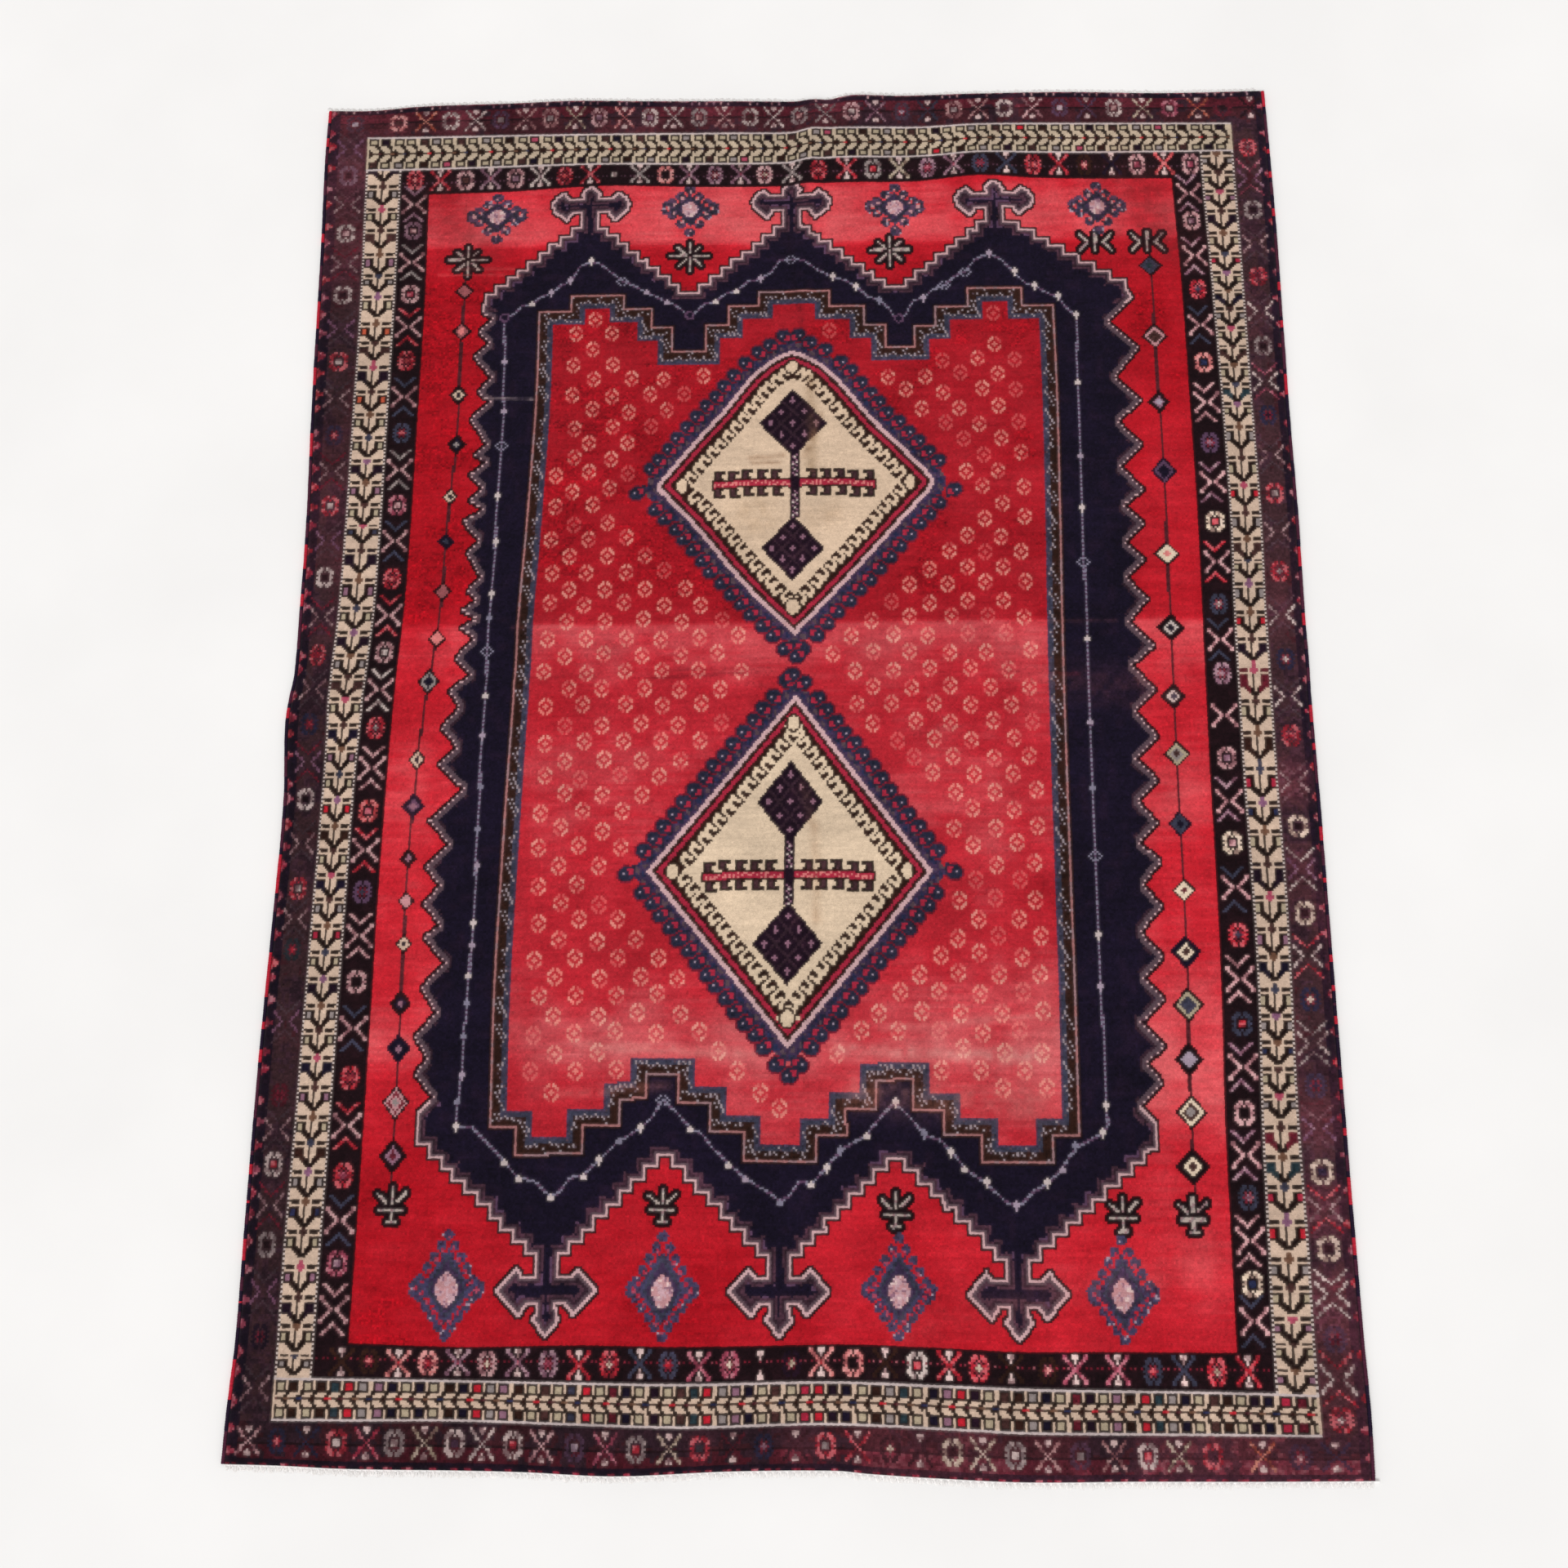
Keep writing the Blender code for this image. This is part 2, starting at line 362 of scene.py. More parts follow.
def value_noise(x, y, length, seed):
    """Smooth noise from -1 to 1 with features of a given length."""
    grid = np.random.default_rng(seed).uniform(-1, 1, (256, 256))
    u, v = np.asarray(x) / length, np.asarray(y) / length
    i, j = np.floor(u).astype(int), np.floor(v).astype(int)
    s, t = u - i, v - j
    s, t = s * s * (3 - 2 * s), t * t * (3 - 2 * t)
    a, b = grid[j % 256, i % 256], grid[j % 256, (i + 1) % 256]
    c, d = grid[(j + 1) % 256, i % 256], grid[(j + 1) % 256, (i + 1) % 256]
    return (a * (1 - s) + b * s) * (1 - t) + (c * (1 - s) + d * s) * t


def knot_noise(length, seed):
    return value_noise(GRID_C, GRID_R, length, seed)


def grain(across, along, period):
    """A number from 0 below the period for each knot, which breaks an ink up into specks."""
    return (GRID_C * across + GRID_R * along).astype(int) % period


# ---------------------------------------------------------------- navy frame
# Runs of stairs on the frame's pale line: from x,y to x,y in so many steps, which go up or across first.
FRAME_TOP = groups("""
-486,672,-336,803,9,up -308,803,-177,686,8,across -147,686,-12,800,8,up 12,800,148,690,8,across
178,690,309,804,8,up 338,803,524,684,8,across
""")
FRAME_BOTTOM = groups("""
498,-624,313,-783,10,up 286,-783,149,-649,8,across 126,-649,-9,-777,8,up -38,-777,-171,-643,8,across
-190,-643,-324,-775,8,up -352,-775,-526,-612,10,across
""")
# tips and notches by turns, from the top down
TEETH_RIGHT = groups("""
534,665 493,622 538,577 499,528 537,487 499,453 536,414 499,378 534,340 502,315 530,285 499,255 528,226
498,198 529,164 499,128 535,90 499,60 532,23 500,-10 532,-49 498,-83 528,-115 497,-145 523,-179 496,-207
525,-235 497,-268 523,-300 490,-337 521,-373 490,-402 518,-432 484,-464 515,-497 488,-521 510,-547 477,-578 498,-600
""")
TEETH_LEFT = groups("""
-489,653 -470,643 -493,621 -474,600 -498,577 -469,540 -490,517 -471,500 -499,470 -472,428 -491,410 -471,397
-496,377 -475,353 -496,335 -473,319 -503,300 -476,267 -496,250 -471,209 -492,187 -476,172 -499,156 -475,143
-499,128 -477,113 -504,82 -481,55 -511,30 -494,5 -520,-27 -495,-56 -520,-83 -482,-121 -531,-167 -499,-203
-533,-235 -510,-263 -534,-290 -506,-320 -531,-338 -497,-374 -530,-410 -506,-446 -536,-478 -516,-508
-533,-531 -506,-562 -526,-583
""")
# right half of an anchor's outline, from its middle
ANCHOR_TOP = groups("15,-50 15,-17 27,-17 38,-33 60,-14 64,0 56,14 43,22 33,11 13,11 17,18 9,28 0,34")
ANCHOR_BOTTOM = groups("16,60 16,19 32,19 42,31 70,0 37,-35 24,-17 14,-17 15,-30 21,-36 0,-62")
ANCHORS = (
    (ANCHOR_TOP, groups("-321,845 0,845 323,845")),
    (ANCHOR_BOTTOM, groups("-338,-821 -23,-822 299,-827")),
)


def stairs(x0, y0, x1, y1, steps, way):
    """Corners of a run of stairs between two points."""
    places = [(x0 + (x1 - x0) * k / steps, y0 + (y1 - y0) * k / steps) for k in range(int(steps) + 1)]
    corners = [places[0]]
    for (xa, ya), (xb, yb) in zip(places, places[1:]):
        corners += [(xb, ya) if way == "across" else (xa, yb), (xb, yb)]
    return corners


def frame_mask():
    top, bottom = ([corner for run in runs for corner in stairs(*run)] for runs in (FRAME_TOP, FRAME_BOTTOM))
    mask = polygon(on_floor(top + TEETH_RIGHT + bottom + TEETH_LEFT[::-1]))
    for profile, places in ANCHORS:
        for x, y in places:
            outline = profile + [(-dx, dy) for dx, dy in profile[-2::-1]]
            mask |= polygon(on_floor((x + dx, y + dy) for dx, dy in outline))
    return mask


def paint_frame():
    """The zigzag frame, and what it covers."""
    pale = frame_mask()
    outline, inner, deep, deeper = grow(pale, 1), shrink(pale, 2), shrink(pale, 3), shrink(pale, 4)
    teeth = pale & (GRID_R > at(0, -575)[1]) & (GRID_R < at(0, 655)[1])
    rim = deep & ~deeper & ~teeth
    worn = knot_noise(4.0, 51) + 0.6 * knot_noise(11.0, 52)
    paint(outline, "black")
    paint(pale, "blush")
    paint(teeth & (GRID_R % 2 < 1), "plum")
    paint(shrink(pale, 1, square=False) & teeth, "dusk")
    paint(shrink(pale, 1), "dusk")
    paint(inner, "fig")
    paint(inner & (worn > 0.2) & ~teeth, "plum")
    paint(inner & (worn < 0.25) & teeth, "navy")
    paint(deep, "navy")
    paint(rim & (worn < 0.1), "plum")
    paint(rim & (worn > 0.55), "purple")
    return outline


# ---------------------------------------------------------------- red panel
PANEL_TOP = turns("""
-399 655 -350 681 -262 657 -220 626 -186 584 -137 627 -100 660 -54 685 61 657 113 625 147 586 190 623 224
656 273 685 363 655 410
""")
PANEL_BOTTOM = turns("""
393 -618 355 -655 254 -619 204 -584 163 -543 113 -582 72 -618 29 -652 -72 -612 -119 -572 -163 -533 -206 -567
-241 -603 -293 -642 -389 -605 -427
""")
BAND = 8                    # knots across the band round the panel


def panel_mask():
    """The panel inside its outer line, its long sides on two warps."""
    corners = [(round(c), round(r)) for c, r in on_floor(PANEL_TOP + PANEL_BOTTOM)]
    left, right = WARPS[3] - FIRST_COLUMN, WARPS[5] - FIRST_COLUMN
    for k, column in ((0, left), (len(PANEL_TOP) - 1, right), (len(PANEL_TOP), right), (-1, left)):
        corners[k] = (column, corners[k][1])
    return polygon(corners)


def paint_panel():
    """The panel's band with its dotted zigzag; gives the panel and the red inside it."""
    panel = panel_mask()
    paint(grow(panel, 1), "black")
    paint(panel, "clay")
    paint(panel & (knot_noise(4.0, 53) > 0.2), "haze")
    speck = grain(7, 11, 5)
    for depth in range(1, BAND):
        ring = shrink(panel, depth) & ~shrink(panel, depth + 1)
        flat = ~np.all([np.roll(panel, shift, 0) for shift in (-depth - 1, -depth, depth, depth + 1)], 0)
        along, half = np.where(flat, GRID_C - 0.5, GRID_R - 0.5), np.where(flat, 3.5, 5.5)
        zigzag = 3.0 + 3.0 * np.abs(along % (2 * half) - half) / half
        paint(ring, "umber" if depth < 5 else "slate")
        paint(ring & (depth > zigzag + 1), "slate")
        paint(ring & (depth == BAND - 1), "dusk_blue")
        near = ring & (np.abs(depth - zigzag) < 0.62)
        paint(near & (speck < 3), "dusk")
        paint(near & (speck < 2), "fog")
        paint(ring & (np.abs(depth - zigzag + 2.2) < 0.5) & (speck == 1), "fog")
    field = shrink(panel, BAND)
    paint(field, "field")
    return panel, field


ROSETTE_SMALL = "..1.2.. .11.22. 33...44 3..e..4 ..eee.. 5..e..6 55...66 .77.88. ..7.8..".split()
SMALL_PITCH = (57.0, 26.6)              # across and along; every other row is half a pitch aside
SMALL_FIRST = (-366.0, 642.0)


def paint_small_rosettes(field, keep_off, rng):
    """Rows of small rosettes over the red panel, each petal in its own tone."""
    for row, y in enumerate(np.arange(SMALL_FIRST[1], -640, -SMALL_PITCH[1])):
        for x in np.arange(SMALL_FIRST[0] + 29.0 * (row % 2), 400, SMALL_PITCH[0]):
            px, py = x + rng.uniform(-4, 4), y + rng.uniform(-3, 3)
            c, r = at(px, py)
            near = np.s_[max(int(r) - 5, 0):int(r) + 6, max(int(c) - 5, 0):int(c) + 6]
            if not field[near].all() or keep_off[near].any():
                continue
            faint = rng.random() < (0.5 if py > 380 and px > 120 else 0.12)
            petals = ("rosette_faint",) if faint else ("rosette", "rosette", "rosette_eye", "rosette_faint")
            inks = {str(k): petals[int(rng.integers(0, len(petals)))] for k in range(1, 9)}
            stamp(ROSETTE_SMALL, c, r, {**inks, "e": petals[0]})


# ---------------------------------------------------------------- medallions
# line: corners of the pale line, clockwise from the top. hooks: how many on each side, and extra ones at the
# corners. sides: x of the left and right corner, then their y. pole: x, top and bottom. bar: y, left and right
# end. diamonds: x, y, half width, half height. seeds: x, y, width, height.
MEDALLIONS = (
    {"line": groups("""
0,581 30,568 50,556 80,523 125,464 170,416 212,369 217,357 210,343 160,287 110,230 60,174 2,111 -60,175
-100,222 -130,262 -160,298 -195,336 -207,348 -205,361 -150,430 -110,477 -65,537 -40,560 -20,573
"""),
     "middle": (5, 347), "hooks": 13, "sides": (-207, 217, 354, 357), "ground": "linen",
     "pole": (4.5, 401, 303), "bar": (357, -120, 124), "diamonds": groups("1,457,53,57 0,251,48,53"),
     "seeds": groups("-168.6,354,15,24 179,357,15,24 0,552,18,20 0,157,20,24"),
     "corner_hooks": groups("-16,611 13,609 -17,88 17,86 1,74 -240,339 251,348")},
    {"line": groups("3,20 199,-247 -11,-499 -213,-244"),
     "middle": (-6, -245), "hooks": 14, "sides": (-213, 199, -244, -247), "ground": "milk",
     "pole": (-7.5, -203, -292), "bar": (-252, -130, 113), "diamonds": groups("-5,-143,48,62 -10,-350,50,60"),
     "seeds": groups("-175,-244,15,23 162,-246,15,23 0,-24,18,22 -11,-456,18,24"),
     "corner_hooks": groups("-15,46 19,43 2,54 -30,-524 9,-524 -11,-540 -246,-252 233,-252")},
)
HOOK = "..xxxxx.. .xyyyyyx. xyyyyyyyx xyyyyyyyy xyywyyrry xyyyyyrry .xyyyrrry ..xyyyyyy ...xxx.yy".split()
HOOK_INKS = {"y": "night", "w": "lilac", "r": "crimson", "x": "wine"}
HOOK_BAND, HOOKS_OUT = 17, 28           # mm outward from the line: the violet band, and the hooks' middles
PALE_TO, RED_FROM, RED_TO, GROUND_FROM = 6.5, 11.5, 17.5, 44.5         # mm inward: the lines, and the ground
WAVE_IN, WAVE_PITCH, WAVE_MARGIN = 30, 17.9, 37     # mm inward, from wave to wave, and clear of the corners
LOZENGE_LINES, BAR_TEETH = 0.34, 5                  # lattice in the dark diamonds; teeth on half of the bar
WAVE = ".oo... .ooo.. oooooo oo..oo oo.... .oo... ..oo.. ...oo.".split()
TOOTH = "kkkkkk khhhkk khhk.. khhk.. khhkk.".split()


def edge_stations(corners, count):
    """Evenly spaced points along a line, each with the line's direction there."""
    points = np.array(corners, float)
    steps = np.hypot(*np.diff(points, axis=0).T)
    run = np.concatenate([[0], np.cumsum(steps)])
    place = np.linspace(0, run[-1], count)
    low = np.clip(np.searchsorted(run, place, side="right") - 1, 0, len(steps) - 1)
    t = ((place - run[low]) / steps[low])[:, None]
    ways = (points[low + 1] - points[low]) / steps[low][:, None]
    return np.hstack([points[low] * (1 - t) + points[low + 1] * t, ways])


def spaced_stations(corners, spacing, margin):
    """Points along a line at a given spacing, clear of its ends by a margin."""
    length = sum(math.dist(a, b) for a, b in zip(corners, corners[1:]))
    count = int((length - 2 * margin) / spacing) + 1
    first = (length - (count - 1) * spacing) / 2
    fine = edge_stations(corners, int(length) + 1)
    return [fine[int(round(first + k * spacing))] for k in range(count)]


def four_sides(line):
    """The outline's four sides, from its top corner round clockwise."""
    x, y = np.array(line).T
    marks = [int(y.argmax()), int(x.argmax()), int(y.argmin()), int(x.argmin())]
    ends = [b if b > a else b + len(line) for a, b in zip(marks, marks[1:] + marks[:1])]
    return [[line[k % len(line)] for k in range(a, b + 1)] for a, b in zip(marks, ends)]


def paint_medallion(m):
    """A medallion's hooks, bands and ground; gives the knots that it takes."""
    line = on_floor(m["line"])
    inside = polygon(line)
    near = distance(line) * np.where(inside, 1, -1) * KNOT      # mm, inward positive
    touched = inside | (near > -HOOK_BAND)
    streak = np.sin(GRID_C * 1.3 + GRID_R * 0.7) + np.sin(GRID_C * 0.31 - GRID_R * 0.9)
    band = (near > -HOOK_BAND) & (near <= 0)
    paint(band, "violet")
    paint(band & (near <= -4) & (streak > 0.7), "dusk")
    paint(band & (near <= -4) & (streak < -0.9), "blue")

    sides = four_sides(m["line"])
    hooks = list(m["corner_hooks"])
    for side in sides:
        stations = edge_stations(side, m["hooks"] + 2)[1:-1]
        hooks += [(x - dy * HOOKS_OUT, y + dx * HOOKS_OUT) for x, y, dx, dy in stations]
    for x, y in hooks:
        right, upper = bool(x > m["middle"][0]), bool(y > m["middle"][1])
        c, r = at(x, y)
        before = cartoon.copy()
        c, r = c + (-1 if right else 1), r + (-1.5 if upper else 1.5)
        stamp(HOOK, c, r, HOOK_INKS, flip=right, upside=not upper)
        touched |= cartoon != before

    paint(near > 0, "umber")
    paint((near > 0) & (near <= PALE_TO), "blush")
    paint((near > RED_FROM) & (near <= RED_TO), "crimson")
    paint(near > GROUND_FROM, m["ground"])
    left, right, y_left, y_right = m["sides"]
    for tip, foot, y in ((left + 50, left + 76, y_left), (right - 50, right - 76, y_right)):
        paint(polygon(on_floor([(tip, y), (foot, y + 15), (foot, y - 15)])), m["ground"])
    for side in sides:
        for x, y, dx, dy in spaced_stations(side, WAVE_PITCH, WAVE_MARGIN):
            right, upper = bool(x > m["middle"][0]), bool(y > m["middle"][1])
            c, r = at(x + dy * WAVE_IN, y - dx * WAVE_IN)
            stamp(WAVE, c + (-2.5 if right else 2.5), r + (0.5 if upper else -0.5), {"o": m["ground"]},
                  flip=right, upside=not upper)
    for x, y, wide, high in m["seeds"]:
        for margin, ink in ((1.1, "umber"), (0, m["ground"])):
            paint(ellipse(*at(x, y), wide / 2 / KNOT + margin, high / 2 / KNOT + margin), ink)
    return touched


def paint_medallion_inside(m):
    """A medallion's two dark diamonds on their pole, and the toothed bar across it."""
    for x, y, half_w, half_h in m["diamonds"]:
        c, r = at(x, y)
        a, b = half_w / KNOT, half_h / KNOT
        across, along = (GRID_C - c) / a, (GRID_R - r) / b
        mask = np.abs(across) + np.abs(along) <= 1
        slants = np.abs([across + along, across - along])
        lines = (np.abs(slants - LOZENGE_LINES) < 0.05).any(0)
        paint(mask, "aubergine")
        paint(mask & lines, "fig")
        for i, j in np.ndindex(3, 3):
            dot_c, dot_r = c + (i + j - 2) * 0.33 * a, r + (i - j) * 0.33 * b
            paint(stroke([(dot_c, dot_r - 1.2), (dot_c, dot_r + 1.2)], 1.2), "mauve")
            paint(stroke([(dot_c - 1.0, dot_r), (dot_c + 1.0, dot_r)], 1.0), "mauve")
    x, top, bottom = m["pole"]
    (middle, r_top), (_, r_bottom) = at(x, top), at(x, bottom)
    paint(box(middle - 2.5, middle + 2.5, r_bottom - 1, r_top + 2), "aubergine")
    y, left, right = m["bar"]
    (c_left, r_bar), (c_right, _) = at(left, y), at(right, y)
    arch_c = (c_left, (c_left + middle) / 2, middle, (middle + c_right) / 2, c_right)
    arch_r = [r_bar + rise for rise in (-0.9, 0.9, 0, 0.9, -0.9)]
    aside = np.abs(GRID_R - np.interp(GRID_C, arch_c, arch_r))
    along = (GRID_C > c_left) & (GRID_C < c_right)
    speck = np.sin(GRID_C * 2.9) + np.sin(GRID_R * 4.1 + GRID_C * 1.7) > 0.1
    paint((GRID_C > c_left - 1.5) & (GRID_C < c_right + 1.5) & (aside <= 2.6), "umber")
    paint(along & (aside <= 1.6), "crimson")
    paint(along & (aside <= 1.1) & speck, "salmon")
    for start, way in ((c_left, 1), (c_right, -1)):
        for k in range(BAR_TEETH):
            c = start + way * (2.8 + k * 7.3)
            r = float(np.interp(c, arch_c, arch_r))
            for shift, rise, upside in ((0, 5, False), (0.5, -5, True)):
                stamp(TOOTH, c + shift, r + rise, {"h": "cocoa", "k": "soot"}, flip=way < 0, upside=upside)
    pole = box(middle - 1.5, middle + 1.5, r_bottom - 1, r_top + 1)
    paint(box(middle - 2.5, middle + 2.5, r_bar - 8, r_bar + 8), "aubergine")
    paint(pole & (grain(7, 13, 3) == 0), "mauve")
    paint(pole & (grain(5, 11, 7) == 0), "bone")
    paint(box(middle - 2.5, middle + 2.5, r_bar - 4, r_bar + 4), "aubergine")


# ---------------------------------------------------------------- chain, diamonds, stars and pendants
# Corners of the thread through the navy, clockwise; o where a bead sits, @ where an eye does.
CHAIN = """
-452,645@ -437,650 -425,666 -410,667o -396,680 -381,686o -365,700 -349,708o -336,733 -319,741o -303,737
-285,721 -267,706o -250,698 -230,686o -214,678 -197,668o -183,663 -170,650 -160,644@ -150,650 -138,664
-120,668o -103,682 -86,687o -69,703 -50,706o -34,717 -18,740 0,741o 20,737 40,722 65,708o 84,702 102,690o
118,674 137,666o 150,655 160,638 168,634@ 178,640 190,664 207,670o 222,684 240,690o 256,706 272,714o 290,736
312,746o 330,736 350,712o 368,692 381,688o 400,675 418,668o 428,650 443,635o 443,590 441,520o 440,397o
438,312o 437,225o 436,103o 435,-27o 433,-127o 432,-227o 430,-342o 430,-413o 430,-500 430,-580o 430,-604
422,-616o 405,-624 385,-634o 364,-662o 345,-683o 325,-692 312,-706 300,-711o 286,-706 262,-682o 233,-662o
215,-640o 200,-624 179,-617o 160,-594 138,-573o 118,-592 98,-616o 63,-636o 42,-660o 22,-682o 5,-678 -8,-697
-21,-704o -38,-692 -68,-675o -91,-655o -115,-632 -130,-613 -144,-607o -165,-584 -184,-567o -198,-590
-214,-606o -245,-624o -272,-650o -293,-670o -310,-672 -325,-692 -337,-697o -360,-676 -382,-672o -402,-650o
-430,-622 -450,-603 -472,-603o -470,-568o -467,-534o -466,-478o -463,-434o -462,-392o -461,-350o -460,-318o
-459,-235o -459,-182o -459,-115o -458,-42o -457,22o -456,90o -455,143o -454,182o -452,265o -450,340o
-449,425o -448,485o -450,568o
"""
BEAD, BEAD_TALL = ".o. ooo ooo".split(), ".o. ooo ooo .o. .o.".split()
BEAD_HOLLOW = "..o.o.. .o...o. o.....o .o...o. ..o.o..".split()


def paint_chain(rng):
    """The thread of beads that runs through the navy frame."""
    words = CHAIN.split()
    points = on_floor(tuple(map(float, word.rstrip("o@").split(","))) for word in words)
    line = distance(points) <= 0.56
    paint(line, "ash")
    paint(line & (grain(3, 5, 7) % 3 == 0), "purple")
    for (c, r), word in zip(points, words):
        if word[-1] == "@":
            paint(ellipse(c, r, 2.6, 2.6), "purple")
            paint(ellipse(c, r, 1.5, 1.6), "navy")
        if word[-1] == "o":
            kind = rng.random() if r > 130 else 0.5 * rng.random() + 0.3
            chart = BEAD_HOLLOW if kind < 0.12 else BEAD_TALL if kind < 0.6 else BEAD
            inks = ("ash",) if kind < 0.12 else ("ash", "pearl", "lilac", "pearl")
            stamp(chart, c, r, {"o": inks[int(kind * 40) % len(inks)]})


# x, y, half width, half height, then the ink of each ring from the outside in
DIAMONDS = (groups("""
-518,692,15,16,zBB -519,622,15,17,zBs -519,512,14,18,zzin -518,428,14,18,zzng -524,341,12,14,zin
-527,268,14,14,nny -528,187,14,16,zBB -533,112,14,15,zss -542,45,16,20,zgnn -553,-75,13,16,zin
-555,-145,17,19,nnum -558,-223,13,15,zzm -558,-285,12,15,zpp -558,-347,12,15,zin -558,-432,16,20,zznm
-557,-495,17,21,nnnm -557,-570,19,24,zpxpg -557,-642,19,24,zzmd
"""), groups("""
564,720,18,19,zyyt 564,597,20,22,zphh 564,485,17,19,zzml 565,370,19,22,nunn 561,235,19,19,zccs
560,118,20,21,zzwn 557,12,19,20,zzwy 557,-76,19,20,zegh 555,-180,16,19,nyyn 555,-277,16,17,zccd
552,-365,21,23,nnch 550,-440,22,23,zeyy 547,-515,20,23,zzll 545,-587,22,23,zchg 543,-660,24,25,zzch
"""))


def paint_diamonds():
    """A string of diamonds down each side of the field."""
    for group in DIAMONDS:
        places = [(x, y) for x, y, *_ in group]
        (x_first, y_first), (x_last, y_last) = places[0], places[-1]
        paint(stroke(on_floor([(x_first, y_first + 28), *places, (x_last, y_last - 45)]), 1.2), "maroon")
        for x, y, half_w, half_h, rings in group:
            c, r = at(x, y)
            level = np.abs(GRID_C - c) * KNOT / half_w + np.abs(GRID_R - r) * KNOT / half_h
            for k, letter in enumerate(rings):
                paint(level <= 1.06 - k / len(rings), LETTERS[letter])


STARS = (           # arms of a star from its middle, then where such stars stand
    (strokes("-30,0 -5,1 / 6,0 31,0 / 0,22 0,6 / 0,-3 0,-29 / -18,14 -9,6 / 17,15 9,7 / -17,-19 -5,-7 / 18,-18 8,-7"),
     groups("-515,748 -162,750 155,755")),
    (strokes("0,17 0,-16 / -25,15 -12,0 -25,-15 / 25,15 12,0 25,-15"), groups("480,763 562,763")),
    (strokes("-16,-17 17,-17 / 1,12 1,-7 / 1,-17 1,-31 / -18,3 -6,-8 / 20,5 8,-6 / -5,-33 7,-33"),
     groups("-556,-697 -183,-699 136,-706 444,-712 538,-713")),
)


def paint_stars():
    speck = grain(3, 7, 5)
    for arms, places in STARS:
        for x, y in places:
            shape = np.any([stroke(on_floor([(x + dx, y + dy) for dx, dy in arm]), 1.25) for arm in arms], 0)
            paint(grow(grow(shape, 1), 1, square=False), "black")
            paint(shape, "straw")
            paint(shape & (speck == 0), "grey")
            paint(shape & (speck == 2), "haze")


# A pendant: half width, heights up and down, curls to a side, their radius, half sizes of its core, then the
# inks of its curls, of the gaps in them and of single knots there, of the band round the core, and where such
# ones hang.
PENDANTS = (
    (14.0, 12.5, 16.0, 3, 2.7, 4.5, 4.6, ("ink_blue", "purple", "dusk_blue"), "pink", "coral", "ink_blue",
     groups("-471,826 -162,834 165,832 486,828")),
    (15.5, 25.0, 21.0, 5, 2.3, 5.0, 7.2, ("steel", "dusk_blue", "violet"), "crimson", "rose", "slate",
     groups("-474,-818 -181,-821 139,-822 439,-827")),
)


def paint_pendant(x, y, wide, up, down, curls, radius, core_wide, core_high, mixed, gap, spot, band):
    """A diamond with a pale core, edged with a row of curls."""
    blot, fleck = knot_noise(1.9, 81), knot_noise(1.2, 82)
    c, r = at(x, y)
    u, v = np.abs(GRID_C - c), GRID_R - r
    level = u / wide + np.abs(v) / np.where(v > 0, up, down)
    shape, hollow = level <= 0.70 + 0.05 * blot, np.zeros(cartoon.shape, bool)
    for high, way in ((up, 1), (-down, -1)):
        for k in range(curls + 1):
            share = min((k + 0.1) / (curls - 0.1), 1)
            du, dv = wide * 0.93 * share, high * 0.93 * (1 - share) + 1.3 * way * (k == curls)
            stalk = (np.abs(v - dv * 0.8 - (u - du * 0.8) * 0.2) < 0.9) & (u < du) & (u > du * 0.6) & (k > 0)
            shape |= (np.hypot(u - du, v - dv) < radius + 0.2 * blot) | stalk
            hollow |= np.hypot(u - du + 0.9, v - dv * 0.97 + 0.9 * way) < 1.0 + 0.25 * fleck
    core = (u / core_wide) ** 1.6 + np.abs((v + 0.4) / core_high) ** 1.6 <= 1
    for here, ink in zip((True, blot > 0.30, blot < -0.40), mixed):
        paint(shape & here, ink)
    paint(hollow, gap)
    paint(hollow & (fleck > 0.3), spot)
    paint(shape & ~hollow & (level > 0.86) & (fleck > 0.70), "lilac")
    paint(level <= 0.60 + 0.05 * blot, band)
    paint(level <= 0.50 + 0.04 * blot, "violet")
    for here, ink in ((True, "dust"), (fleck > 0.1, "pink"), (blot > 0.55, "shell"), (fleck < -0.50, "mauve")):
        paint(core & here, ink)


# ---------------------------------------------------------------- borders
ROSETTE = quarter("..pp. .ppp. ppp.p pp... .p.cc pp.cc")
ROSETTE_FULL = quarter("..pp. .ppp. .pp.p pp.r. .pprc pprcc")
CROSS = quarter("xx..ww xx..ww .xx..w ..xx.w ...xx. ....xy", even=True)
CROSS_THIN = quarter("x...ww xx..ww .xx..w ..x... ..xx.. ....x. .....x")
ANGLES = quarter("xx..... xx..... .xx.... ..xx... ...xx.. ....xx.", even=True)
ANGLES_THIN = quarter("x...... xx..... .x..... ..xx... ...x... ....x..")
VEE = quarter("xx.... .xx... ..xx.. ...xx. ....xx .....x")[:6]
VEE_THIN = quarter("x...... .x..... .xx.... ...x... ...xx.. .....x. ......x")[:7]

IVORY = inside(-228, 235, -330, 324)        # what the ivory bands enclose, themselves included
INNER = inside(-210, 219, -312, 305)        # the same for the inner border
FIELD = inside(-195, 203, -297, 291)

